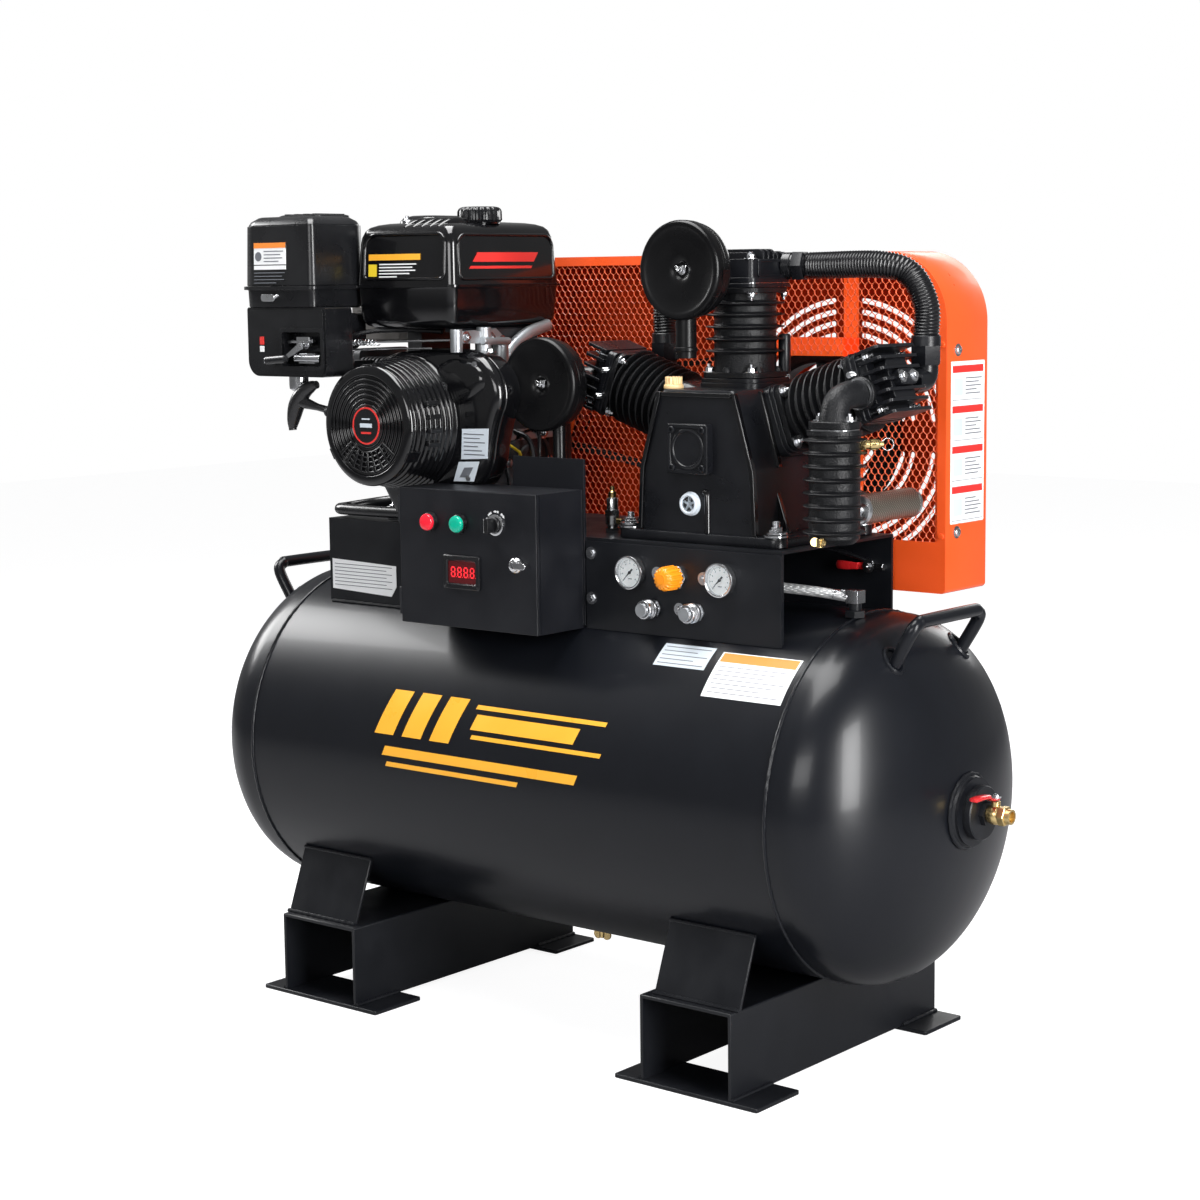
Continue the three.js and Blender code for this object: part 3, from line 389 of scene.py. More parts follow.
# The feed hose's glow is painted light that brightens the braid in the shade under the panel.
FEED_BRAID_PAINTED_GLOW = material("feed_braid_painted_glow", (0.42, 0.43, 0.44), 0.34, metal=0.7, bump=0.9,
                      second=(0.92, 0.92, 0.90), pattern="braid", depth=0.0008, glow=0.16)
# Dark orange that paints the shade inside the belt guard's back.
GUARD_PAINTED_SHADE = material("guard_painted_shade", (0.50, 0.044, 0.008), 0.60, bump=0.08, grain=900, shine=0.1)
GLASS = material("clear_glass", (0.95, 0.97, 0.98), 0.03, bump=0.01, mottle=0.01, clear=1.0)
DISPLAY = material("display_digit", (0.9, 0.02, 0.03), 0.4, bump=0.02, glow=0.9)
DISPLAY_WINDOW = material("display_window", (0.10, 0.006, 0.008), 0.12, coat=0.6, bump=0.02)
YELLOW = material("wire_yellow", (0.85, 0.62, 0.03), 0.4, bump=0.05)
MESH_ORANGE = material("mesh_paint", (0.780, 0.130, 0.045), 0.30, coat=0.4, bump=0.05, grain=900,
                       mottle=0.05)
RUBBER_GLOSS = material("grip_rubber", (0.0085, 0.0085, 0.0095), 0.30, coat=0.3, bump=0.12, grain=500)


# ---- tank and frame ----
TANK_R, TANK_Z, SEAM_X, STRAIGHT, DOME = 260, 388, 492, 19, 135.5
SADDLE_X, BEAM_HALF, BEAM_WALL, BEAM_TOP, BEAM_END = 357, 78, 5, 127.6, 259
BRACE_SHIFT, BRACE_HALF = 8, 73
LEFT_RIGHT = (("left", -1), ("right", 1))


def on_tank(x, angle, lift=0.0):
    """A point on the shell, at an angle from the top towards the front."""
    a = math.radians(angle)
    return Vector((x, -(TANK_R + lift) * math.sin(a), TANK_Z + (TANK_R + lift) * math.cos(a)))


def weld_bead(geo, path, radius=2.6, closed=False):
    """A rippled weld seam."""
    return geo.tube(path, lambda k: radius * (1 + 0.16 * math.sin(k * 1.9) + rng.uniform(-0.06, 0.06)), 8,
                    closed)


def build_tank():
    """The shell, both ends with their handles, and the weld seams."""
    shell = Geo().lathe([(TANK_R - 5, -SEAM_X), (TANK_R, -SEAM_X), (TANK_R, SEAM_X), (TANK_R - 5, SEAM_X)],
                        (0, 0, TANK_Z), X, 160, closed=True)
    shell.out("tank_shell_skin", TANK_PAINT, stands_for="tank_shell")
    for name, s in LEFT_RIGHT:
        start = SEAM_X + STRAIGHT
        arc = [(k / 24) * math.pi / 2 for k in range(25)]
        outer = [(TANK_R * math.cos(a), start + DOME * math.sin(a)) for a in arc]
        inner = [((TANK_R - 5) * math.cos(a), start + (DOME - 5) * math.sin(a)) for a in reversed(arc)]
        end = Geo().lathe([(TANK_R, SEAM_X)] + outer + inner + [(TANK_R - 5, SEAM_X)],
                          (0, 0, TANK_Z), X * s, 160, closed=True)
        foot = [(s * 577, 83, 588), (s * 606, 86, 637)]
        bend = [(s * 611, 74, 650), (s * 612, 58, 652)]
        half = foot + bend
        path = smooth_path(half + [(x, -y, z) for x, y, z in reversed(half)], 6)
        end.tube(path, 9.2, 16)
        for side in (-83, 83):
            ring = [(s * 577 + 12 * math.cos(a), side + 12 * math.sin(a),
                     tank_end_height(s * 577 + 12 * math.cos(a), side + 12 * math.sin(a)))
                    for a in angles(20)]
            weld_bead(end, ring, 3.4, closed=True)
        end.out(f"tank_end_{name}_skin", TANK_PAINT, stands_for=f"tank_end_{name}")
    seams = Geo()
    for s in (-1, 1):
        ring = [(s * SEAM_X, (TANK_R + 0.3) * math.cos(a), TANK_Z + (TANK_R + 0.3) * math.sin(a))
                for a in angles(300)]
        weld_bead(seams, ring, 2.3, closed=True)
    weld_bead(seams, [on_tank(-SEAM_X + 4 * k, 176, 0.2) for k in range(247)], 2.0)
    seams.out("tank_weld_seams", TANK_PAINT)


def tank_end_height(x, y):
    """Height of the dished end's upper surface."""
    u = (abs(x) - SEAM_X - STRAIGHT) / DOME
    radius = TANK_R * math.sqrt(max(0.0, 1 - u * u))
    return TANK_Z + math.sqrt(max(0.0, radius * radius - y * y))


def build_saddles():
    """Two channels, open at the bottom, with foot plates and sloping braces."""
    for name, s in LEFT_RIGHT:
        saddle, x = Geo(), s * SADDLE_X
        inner, web = BEAM_HALF - BEAM_WALL, 122.5
        saddle.prism([(x - BEAM_HALF, 5), (x - inner, 5), (x - inner, web), (x + inner, web),
                      (x + inner, 5), (x + BEAM_HALF, 5), (x + BEAM_HALF, 126.5), (x + 76.5, BEAM_TOP),
                      (x - 76.5, BEAM_TOP), (x - BEAM_HALF, 126.5)], "y", -BEAM_END, BEAM_END)
        for end in (-1, 1):
            near, far = sorted((end * 161, end * 262))
            saddle.prism(rounded(x - 123, x + 123, near, far, 4, 4), "z", 0, 6)
            brace = [(end * 243, 126), (end * 238, 126), (end * 201, 223), (end * 206, 223)]
            saddle.prism(brace, "x", x + s * BRACE_SHIFT - BRACE_HALF, x + s * BRACE_SHIFT + BRACE_HALF)
        saddle.out(f"saddle_beam_{name}", FRAME_PAINT, stands_for=f"saddle_{name}", bevel=1.2, steps=2)
    welds = Geo()
    for s in (-1, 1):
        for end in (-1, 1):
            x0, width = s * (SADDLE_X + BRACE_SHIFT) - BRACE_HALF, 2 * BRACE_HALF
            for y, z, radius in ((205, 224, 2.6), (244, 129, 3.2)):
                weld_bead(welds, [(x0 + width * k / 36, end * y, z) for k in range(37)], radius)
            for side in (-1, 1):
                x = s * SADDLE_X + side * 80
                weld_bead(welds, [(x, end * (258 - 4 * k), 7.5) for k in range(24)], 3.0)
    welds.out("saddle_welds", FRAME_PAINT)


def build_deck():
    """The deck and the panel as packed, with their welds and bolts."""
    dress("deck", FRAME_PAINT, 1.6)
    dress("gauge_panel", FRAME_PAINT, 1.4)
    dress("air_manifold", ALLOY, 1.0)
    welds = Geo()
    for y in (-138, 141):
        reach = math.sqrt(TANK_R ** 2 - y ** 2)
        weld_bead(welds, [(-430 + 6 * k, y, TANK_Z + reach + 1) for k in range(87 if y < 0 else 144)], 2.6)
    welds.out("deck_welds", FRAME_PAINT)
    bolts = Geo()
    for x, y in ((148, -104), (401, -104), (148, 104), (401, 104)):
        bolts.bolt((x, y, 755.3), Z, 10, 8, 11, 2.4)
    for x, z in ((103, 718), (103, 653), (223, 697), (304, 695), (262, 649)):
        bolts.bolt((x, -139.6, z), FRONT, 5.2, 4, 0 if x < 110 else 2, 1.2)
    bolts.out("deck_bolts", ZINC)


def build_labels():
    """Plain stickers with a generic band and grey rules."""
    papers, silver, orange, rules = Geo(), Geo(), Geo(), Geo()

    def tank_patch(geo, x0, x1, a0, a1, lift, skew=0.0, steps=10):
        """A thin patch that follows the tank's side between two angles."""
        rows = []
        for k in range(steps + 1):
            a = a0 + (a1 - a0) * k / steps
            dx = skew * (k / steps - 0.5)
            rows.append([on_tank(x0 + dx, a, lift), on_tank(x1 + dx, a, lift),
                         on_tank(x1 + dx, a, -0.5), on_tank(x0 + dx, a, -0.5)])
        geo.loft(rows)

    def angle_of(z):
        """The tank's angle, from the top, at a height."""
        return math.degrees(math.acos((z - TANK_Z) / TANK_R))

    tank_patch(silver, 246, 334, angle_of(601), angle_of(575), 0.5)
    for k in range(5):
        a = angle_of(598) + k * (angle_of(579) - angle_of(598)) / 4
        tank_patch(rules, 251, 329 - (k % 2) * 20, a, a + 0.28, 0.7)
    tank_patch(papers, 349, 481, angle_of(598), angle_of(545), 0.5)
    tank_patch(orange, 352, 478, angle_of(597), angle_of(587), 0.7)
    for k in range(7):
        a = angle_of(582) + k * 1.55
        tank_patch(rules, 356, 474 - (k % 3) * 16, a, a + 0.22, 0.7)

    def flat(geo, x0, x1, z0, z1, y, lift):
        geo.box(x0, x1, y - lift, y + 0.3, z0, z1)

    papers.prism([(-430, 676), (-430, 629), (-302, 624), (-291, 640), (-291, 672)], "y", -136.6, -135.8)
    for k in range(7):
        flat(rules, -425, -300 - (k % 2) * 12, 668 - 5.5 * k, 669 - 5.5 * k, -136.0, 0.9)
    papers.out("labels_white", PAPER)
    silver.out("label_silver_plate", PALE_PAPER)
    orange.out("label_orange_bands", BAND_ORANGE)
    rules.out("label_grey_rules", GREY_INK)

    stripes = Geo()
    for k in range(3):
        tank_patch(stripes, -214 + 56 * k, -176 + 56 * k, angle_of(503), angle_of(438), 0.5, -26)
    for a, b, x1 in ((497, 491, 208), (484, 462, 160), (455, 449, 208)):
        tank_patch(stripes, -34, x1, angle_of(a), angle_of(b), 0.5, (a - b) * -0.4)
    tank_patch(stripes, -206, 168, angle_of(421), angle_of(407), 0.5, -6)
    tank_patch(stripes, -200, 60, angle_of(398), angle_of(391), 0.5, -3)
    stripes.out("tank_stripes", STRIPE)


# ---- gauges, couplers and valves ----
PANEL_FRONT = -139.5


def build_gauge(side, x):
    """A pressure gauge with a scale and a pointer that turns."""
    at = Vector((x, PANEL_FRONT, 696))
    case = Geo().lathe([(0, -20), (6, -20), (6, 0), (21, 0), (22.5, 1.5), (22.5, 9), (24, 9.6), (24.2, 12),
                        (23.6, 13.6), (22, 14), (20.6, 13.2), (20.6, 7), (0, 7)], at, FRONT, 64)
    case.rod(at + Vector((0, 18, 0)), at + Vector((0, 8, 0)), 9, 6)
    case.out(f"gauge_case_{side}", STEEL, stands_for=f"pressure_gauge_{side}")
    # The face glows with painted light.
    face = Geo().lathe([(0, 7.2), (20.5, 7.2), (20.5, 7.5), (0, 7.5)], at, FRONT, 48)
    face.out(f"gauge_face_{side}", DIAL_PAINTED_GLOW)
    place = facing(at, FRONT)
    marks, red = Geo(), Geo()
    for k in range(41):
        a = math.radians(-45 + k * 270 / 40)
        long = 3.4 if k % 5 == 0 else 1.8
        width = 0.32 if k % 5 == 0 else 0.16
        turn = place @ Matrix.Rotation(a, 4, "Z")
        marks.box(18.6 - long, 18.6, -width, width, 7.5, 7.7, turn)
        if k % 5 == 0:
            marks.box(12.6, 13.6, -0.9, 0.9, 7.5, 7.7, turn)
    for k in range(9):
        turn = place @ Matrix.Rotation(math.radians(-45 + k * 6.75), 4, "Z")
        red.box(19.0, 20.0, -1.15, 1.15, 7.5, 7.7, turn)
    marks.box(-3.2, 3.2, -9.4, -8.4, 7.5, 7.7, place)
    marks.out(f"gauge_marks_{side}", INK)
    red.out(f"gauge_red_arc_{side}", BAND_RED)
    lens = Geo().lathe([(0, 12.0), (20.8, 12.0), (20.8, 13.0), (10, 13.5), (0, 13.6)], at, FRONT, 48)
    lens.out(f"gauge_lens_{side}", GLASS)
    needle = Geo()
    tip = math.radians(225)
    ax, az = math.cos(tip), math.sin(tip)
    needle.prism([(ax * 17, az * 17), (-az * 0.9 + ax * 3, ax * 0.9 + az * 3),
                  (-az * 1.3 - ax * 7, ax * 1.3 - az * 7), (az * 1.3 - ax * 7, -ax * 1.3 - az * 7),
                  (az * 0.9 + ax * 3, -ax * 0.9 + az * 3)], "z", 8.6, 9.2, place)
    needle.lathe([(0, 8.0), (2.2, 8.0), (2.2, 9.6), (1.6, 10), (0, 10)], at, FRONT, 24)
    needle.out(f"gauge_pointer_{side}", INK, f"needle_{side}", f"gauge_needle_{side}")


def build_couplers():
    """Two quick couplers with sliding sleeves, and the regulator's knob."""
    plugs = Geo()
    for side, x in (("left", 216), ("right", 292)):
        at = Vector((x, PANEL_FRONT, 647))
        plugs.lathe([(0, 0), (10.6, 0), (10.6, 5), (0, 5)], at, FRONT, 6)
        plugs.lathe([(0, 0), (13, 0), (13, 0.5), (0, 0.5)], at, FRONT, 6)
        plugs.lathe([(4.2, 14), (4.2, 29.5), (7.6, 30.5), (8.8, 29.5), (9.4, 4), (0, 4), (0, 14)], at,
                    FRONT, 40)
        sleeve = [(10.9, 7.5), (13.2, 7.5), (13.9, 8.4), (13.9, 12), (12.8, 12.8), (12.8, 15), (13.9, 15.8)]
        sleeve += [(13.9 - 0.45 * (k % 2), 16.2 + k * 0.45) for k in range(13)]
        sleeve += [(13.9, 22.2), (12.6, 24.6), (10.9, 25.2)]
        ring = Geo().lathe(sleeve, at, FRONT, 48, closed=True)
        ring.out(f"coupler_ring_{side}", ZINC, f"sleeve_{side}", f"coupler_sleeve_{side}")
    plugs.out("coupler_bodies", ZINC)

    at = Vector((257, -146, 694))
    star = []
    for k in range(96):
        a = TAU * k / 96
        star.append((a, 16.6 + 0.9 * max(-1.0, min(1.0, 2.2 * math.cos(a * 16)))))
    loops = []
    for height, share in ((0, 0.93), (1.5, 1.0), (20, 0.98), (24.5, 0.93), (27.6, 0.8), (29, 0.62)):
        loops.append([at + Vector((r * share * math.cos(a), -height, r * share * math.sin(a)))
                      for a, r in star])
    knob = Geo().loft(loops)
    knob.lathe([(0, 28), (7.5, 28), (7.0, 29.6), (0, 29.6)], at, FRONT, 32)
    knob.out("regulator_grip", KNOB_ORANGE, "regulator_knob", "regulator_knob")
    nut = Geo().lathe([(0, 0.2), (18, 0.2), (18, 4), (16.5, 5.4), (0, 5.4)], (257, PANEL_FRONT, 694),
                      FRONT, 6)
    nut.out("regulator_nut", ZINC)


def build_feed_line():
    """The braided hose from the panel to the tank's top."""
    hose = Geo()
    path = even_path([(478, -44, 672), (452, -52, 676), (420, -66, 680), (380, -86, 684), (350, -97, 684)],
                     2.2)
    hose.tube(path, 7.0, 20)
    # The braid glows with painted light.
    hose.out("tank_feed_braid", FEED_BRAID_PAINTED_GLOW, stands_for="tank_feed_hose")
    union = Geo()
    union.lathe([(0, 0), (15, 0), (15, 9), (13, 10), (0, 10)], (488, -40, 645), Z, 6)
    union.rod((488, -40, 652), (488, -40, 668), 9, 20)
    union.out("tank_feed_boss", FRAME_PAINT)
    elbow = Geo()
    elbow.box(478, 498, -50, -30, 664, 682)
    elbow.lathe([(0, 0), (9.5, 0), (9.5, 12), (0, 12)], (480, -42, 673), (-1, -0.15, 0.1), 6)
    elbow.rod((470, -44, 674), (458, -50, 675.5), 7.4, 20)
    elbow.out("tank_feed_elbow", ZINC, bevel=2.5, steps=3)


def lever_shape(geo, pivot, along, up, length, width, thick, grip_from=0.35):
    """A cranked flat lever with a dipped grip; along and up are unit directions."""
    pivot, along, up = Vector(pivot), Vector(along), Vector(up)
    side = along.cross(up)
    loops = []
    for t, lift, w, h in ((-0.08, 0, 0.6, 0.5), (0.0, 0, 1.0, 0.5), (0.2, 0, 0.85, 0.5),
                          (0.3, 0.04, 0.8, 0.5), (grip_from, 0.1, 0.8, 1.0), (0.5, 0.12, 0.95, 1.0),
                          (0.75, 0.13, 1.05, 1.0), (0.95, 0.12, 1.0, 1.0), (1.0, 0.12, 0.5, 0.6)):
        centre = pivot + along * length * t + up * length * lift
        outline = [(math.cos(TAU * k / 16), math.sin(TAU * k / 16)) for k in range(16)]
        loops.append([centre + side * (width * w * math.copysign(abs(c) ** 0.6, c))
                      + up * (thick * h * math.copysign(abs(s) ** 0.6, s)) for c, s in outline])
    return geo.loft(loops)


def build_valves():
    """The outlet valve, the shut-off valve's lever and the tank drain."""
    end = Geo()
    at = (0, 0, TANK_Z)
    end.lathe([(0, 640), (50, 640), (50, 648), (47, 652), (47, 656), (36, 656.5), (36, 661), (0, 661)], at,
              X, 64)
    weld_bead(end, [(646, 50 * math.cos(a), TANK_Z + 50 * math.sin(a)) for a in angles(60)],
              3.4, closed=True)
    end.lathe([(0, 661), (36, 661), (37.5, 662), (37.5, 668.6), (36, 670), (0, 670)], at, X, 48)
    end.lathe([(0, 670), (17, 670), (17, 677), (0, 677)], at, X, 6)
    end.out("outlet_bung", FRAME_PAINT, stands_for="end_valve")
    body = Geo()
    body.lathe([(0, 676), (9, 676), (9, 678), (12, 679), (13.5, 684), (13.5, 690), (12, 694), (11, 695),
                (0, 695)], at, X, 40)
    body.lathe([(0, 695), (14, 695), (14, 704), (13, 705), (0, 705)], at, X, 6)
    body.lathe([(7, 702), (7.4, 712), (10.4, 712), (10.8, 704), (0, 704), (0, 702)], at, X, 32)
    body.rod((687, 0, TANK_Z + 6), (687, 0, TANK_Z + 19), 6.5, 20)
    body.out("outlet_valve_body", BRASS)
    handle = Geo()
    lever_shape(handle, (687, 0, TANK_Z + 22.5), (0, -1, 0), (0, 0, 1), 60, 6.8, 3.0)
    handle.out("outlet_valve_lever", RED_VINYL, "end_valve_lever", "end_valve_lever")
    nut = Geo().bolt((687, 0, TANK_Z + 23.5), Z, 4.2, 3.4, 1.2, 0.8)
    nut.out("outlet_lever_nut", ZINC, "end_valve_lever")

    lever = Geo()
    lever_shape(lever, (399, 130, 692), (-1, 0, 0), (0, -1, 0), 52, 6.2, 3.0, 0.3)
    lever.out("shutoff_lever_grip", RED_VINYL, "shutoff_lever", "shutoff_lever")
    stem = Geo().bolt((399, 128, 692), FRONT, 5.4, 4.2, 4, 1.4)
    stem.out("shutoff_lever_nut", ZINC, "shutoff_lever")
    tail = Geo()
    tail.rod((399, 134.8, 692), (399, 130, 692), 9.5, 6)
    tail.rod((409, 131, 692), (424, 131, 692), 5.5, 6)
    tail.rod((400, 131, 692), (414, 131, 692), 4.4, 16)
    tail.out("shutoff_valve_stem", ZINC)

    drain = Geo()
    z = TANK_Z - TANK_R
    drain.lathe([(0, -14), (7, -14), (8, -12), (8, -2), (7, -0.3), (0, -0.3)], (0, 0, z), Z, 6)
    drain.rod((0, 0, z - 24), (0, 0, z - 13), 5, 20)
    drain.lathe([(0, -1.8), (7.5, -1.8), (7.5, 1.8), (0, 1.8)], (-8.5, 0, z - 19), (0, 1, 0), 24)
    drain.lathe([(0, -1.8), (7.5, -1.8), (7.5, 1.8), (0, 1.8)], (8.5, 0, z - 19), (0, 1, 0), 24)
    drain.out("drain_cock", BRASS, "tank_drain", "tank_drain")


# ---- control box ----
DOOR_FRONT = -241.5


def build_control_box():
    """The box and its door with buttons, key, latch and hour meter."""
    dress("control_box", BOX_PAINT, 1.6)
    dress("control_box_door", BOX_PAINT, 1.1)
    seams = Geo()
    seams.box(80.5, 82.5, -238.9, -238.2, 612, 804)
    seams.box(87.0, 88.2, -234, -231.5, 611, 806)
    for z in (640, 776):
        seams.rod((-179.8, -240, z - 20), (-179.8, -240, z + 20), 2.2, 16)
    seams.out("box_hinges_and_fold", BOX_PAINT)

    for name, x, finish in (("stop", -115, RED_LENS), ("start", -57, GREEN_LENS)):
        at = (x, DOOR_FRONT, 760)
        collar = Geo().lathe([(8.5, 0), (14.2, 0), (14.2, 1.6), (13.4, 3.2), (13.4, 6.4), (12.4, 7.2),
                              (8.5, 7.2)], at, FRONT, 48, closed=True)
        collar.out(f"{name}_button_collar", PLASTIC, "door")
        cap = Geo().lathe([(0, -5), (7.6, -5), (7.6, 4.4), (11.6, 4.4), (12.2, 5.4), (12.2, 10.4),
                           (11.2, 12.2), (9.4, 13.0), (5, 13.3), (0, 13.4)], at, FRONT, 56)
        cap.out(f"{name}_button_cap", finish, f"{name}_button", f"{name}_button")

    at = Vector((12, DOOR_FRONT, 762))
    bezel = Geo().lathe([(7, 0), (15.2, 0), (15.6, 1.2), (15.2, 2.6), (13, 3.4), (11.2, 3.2), (11.2, 0.4),
                         (7, 0.4)], at, FRONT, 56, closed=True)
    bezel.out("key_bezel", CHROME, "door")
    legend = Geo()
    place = facing(at, FRONT)
    for k, (start, sweep) in enumerate(((35, 26), (75, 30), (118, 22), (152, 14))):
        steps = 6
        for i in range(steps):
            turn = place @ Matrix.Rotation(math.radians(start + sweep * i / steps), 4, "Z")
            if (i + k) % 3:
                legend.box(17.5, 20.6, -0.55, 0.55, -0.1, 0.25, turn)
            else:
                legend.box(18.6, 19.6, -0.9, 0.9, -0.1, 0.25, turn)
    legend.out("key_legend", PAPER, "door")
    key = Geo().lathe([(0, -6), (5.6, -6), (5.6, 3.6), (10.6, 3.6), (10.9, 4.4), (10.9, 7.2), (10.2, 8),
                       (0, 8)], at, FRONT, 48)
    key.prism(rounded(-4.2, 4.2, -10.5, 10.5, 3.6, 6), "z", 7, 22, place)
    key.out("key_grip", PLASTIC, "key_switch", "key_switch", bevel=1.2, steps=3)
    edge = Geo().prism(rounded(-4.5, -3.4, -9.5, 9.5, 0.5, 2), "z", 9, 21.5, place)
    edge.out("key_pointer", PAPER, "key_switch")

    at = Vector((52, DOOR_FRONT, 707))
    lock = Geo().lathe([(0, -6), (5.6, -6), (5.6, 0.6), (11.6, 0.6), (12, 1.4), (12, 4), (10.6, 7),
                        (8.8, 8.2), (8.8, 9.6), (7.6, 10.4), (0, 10.4)], at, FRONT, 48)
    lock.prism(rounded(-4.4, 24, -4.6, 4.6, 4.4, 6), "z", 7.5, 12.5, facing(at, FRONT))
    lock.out("door_latch", CHROME, "door_lock", "door_lock", bevel=1.4, steps=3)
    slot = Geo().box(-1, 1, -4.5, 4.5, 10, 12.9, facing(at, FRONT) @ Matrix.Rotation(0.5, 4, "Z"))
    slot.out("door_latch_slot", INK, "door_lock")

    meter = Geo()
    x0, x1, z0, z1 = -90, -19, 665, 714
    rim = [[(x, y, z) for x, z in rounded(x0 + i, x1 - i, z0 + i, z1 - i, 3, 4)]
           for i, y in ((0, -241.6), (0, -244.2), (1.2, -245.2), (6.6, -245.2), (8.2, -243.4),
                        (8.2, -241.0))]
    rim.append([(x, -236, z) for x, z in rounded(x0 + 8.2, x1 - 8.2, z0 + 8.2, z1 - 8.2, 3, 4)])
    rim.append([(x, -236, z) for x, z in rounded(x0 + 4.4, x1 - 4.4, z0 + 4.4, z1 - 4.4, 3, 4)])
    rim.append([(x, -241.0, z) for x, z in rounded(x0 + 4.4, x1 - 4.4, z0 + 4.4, z1 - 4.4, 3, 4)])
    meter.loft(rim, closed=True)
    meter.out("hour_meter_rim", SATIN, "door")
    window = Geo().box(x0 + 7.4, x1 - 7.4, -241.9, -238, z0 + 7.4, z1 - 7.4)
    window.out("hour_meter_window", DISPLAY_WINDOW, "door", bevel=0.5)
    digits = Geo()
    for k in range(4):
        cx, cz, w, h, t = -72.4 + 12.4 * k, 689.5, 3.4, 6.8, 0.9
        for dz in (-h, 0, h):
            digits.box(cx - w + 0.8, cx + w - 0.8, -242.3, -241.6, cz + dz - t, cz + dz + t)
        for dx in (-w, w):
            for dz in (-h / 2, h / 2):
                digits.box(cx + dx - t, cx + dx + t, -242.3, -241.6, cz + dz - h / 2 + 1.1,
                           cz + dz + h / 2 - 1.1)
        digits.box(cx + 5.4, cx + 6.4, -242.3, -241.6, cz - h - 0.6, cz - h + 0.4)
    digits.out("hour_meter_digits", DISPLAY, "door")


def build_box_works():
    """Relays, a terminal row and looms on a plate at the back of the control box."""
    plate, blocks, screws = Geo(), Geo(), Geo()
    plate.box(-164, 73, -144.4, -142.4, 622, 794)
    for x0, x1, z0, z1, depth in ((-152, -98, 706, 778, 34), (-84, -44, 710, 774, 30),
                                  (-26, 58, 716, 772, 22)):
        blocks.prism(rounded(x0, x1, z0, z1, 3, 4), "y", -144.4 - depth, -144.4)
        for x in (x0 + 8, x1 - 8):
            for z in (z0 + 7, z1 - 7):
                screws.bolt((x, -144.4 - depth, z), FRONT, 4, 2, 0, 1)
    for k in range(12):
        x = -140 + 15 * k
        blocks.box(x, x + 13, -166, -144.4, 646, 672)
        screws.bolt((x + 6.5, -166, 659), FRONT, 3.6, 1.6, 0, 0.8)
    plate.out("box_mounting_plate", ALLOY, bevel=0.8)
    blocks.out("box_relays_terminals", PLASTIC, bevel=0.8)
    screws.out("box_terminal_screws", BRASS)
    for name, finish, first in (("red", BAND_RED, 0), ("yellow", YELLOW, 1), ("black", HOSE, 2)):
        loom = Geo()
        for k in range(first, 12, 3):
            x, top = -133.5 + 15 * k, (-130, -64, 16)[k % 3]
            loom.tube(even_path([(x, -160, 672), (x, -172, 682), ((x + top) / 2, -176, 692),
                                 (top, -172, 700), (top, -160, 712)], 3), 1.5, 10)
        loom.out(f"box_wires_{name}", finish)




# ---- pump ----
PUMP_X, PUMP_Z = 275, 880
BANKS = {"left": (-71, 4), "centre": (0, -10), "right": (71, 4)}
DECK_FACE = 740.2


def bank_matrix(side):
    """Puts a shape drawn about +Z at the pump's shaft on one bank's axis."""
    tilt, shift = BANKS[side]
    return (Matrix.Translation((PUMP_X, 0, PUMP_Z)) @ Matrix.Rotation(math.radians(tilt), 4, "Y")
            @ Matrix.Translation((0, 0, shift)))


def fin_profile(core, low, high, fins, tip, thick):
    """Barrel outline: a core with thin tapering fins and a fillet at each root."""
    profile = [(core, low)]
    for h in fins:
        profile += [(core, h - thick - 1.2), (core + 1.6, h - thick * 0.7), (tip - 0.8, h - thick * 0.36),
                    (tip, h), (tip - 0.8, h + thick * 0.36), (core + 1.6, h + thick * 0.7),
                    (core, h + thick + 1.2)]
    return profile + [(core, high)]


def build_barrel(side):
    """A finned cylinder between two square flanges."""
    place = bank_matrix(side)
    barrel, nuts = Geo(), Geo()
    if side == "centre":
        fins = [134, 151, 168, 185, 201]
    else:
        fins = [120 + 12.6 * k for k in range(8)]
    barrel.lathe([(34, 96.6)] + fin_profile(44, 104.4, 216, fins, 56, 3.2) + [(34, 216)], matrix=place,
                 segs=72, closed=True)
    for low, high in ((96.6, 104.6), (215, 222.6)):
        rim = [[(x, y, h) for x, y in rounded(-48 + i, 48 - i, -48 + i, 48 - i, 20, 6)]
               for h, i in ((low, 0.8), (low + 0.8, 0), (high - 0.8, 0), (high, 0.8))]
        hole = [[(x, y, h) for x, y in rounded(-34, 34, -34, 34, 33.9, 6)] for h in (high, low)]
        barrel.loft([[place @ Vector(p) for p in loop] for loop in rim + hole], closed=True)
    lugs = 6 if side == "centre" else 4
    for k in range(lugs):
        a = TAU * (k + 0.5) / lugs
        x, y = 45 * math.cos(a), 45 * math.sin(a)
        barrel.lathe([(0, 104), (6, 104), (6, 108), (4, 112), (0, 112)], (0, 0, 0), Z, 12,
                     matrix=place @ Matrix.Translation((x, y, 0)))
    for k in range(4):
        a = math.pi * (0.25 + 0.5 * k)
        nuts.bolt((52 * math.cos(a), 52 * math.sin(a), 104.6), Z, 5.2, 5.6, 5, 1.2, matrix=place)
        nuts.bolt((55 * math.cos(a), 55 * math.sin(a), 215), -Z, 4.8, 5, 4, 1.0, matrix=place)
    barrel.out(f"barrel_{side}", CASTING, stands_for=f"cylinder_{side}")
    nuts.out(f"barrel_nuts_{side}", ZINC)
    dress(f"piston_{side}", STEEL, 1.0)


def rib_row(geo, place, spots, thick, half, low, high, corner):
    """Upright ribs across x, with rounded upper corners."""
    for x in spots:
        geo.prism(rounded(-half, half, low, high, (corner, corner, 0.5, 0.5), 6), "x", x - thick / 2,
                  x + thick / 2, place)


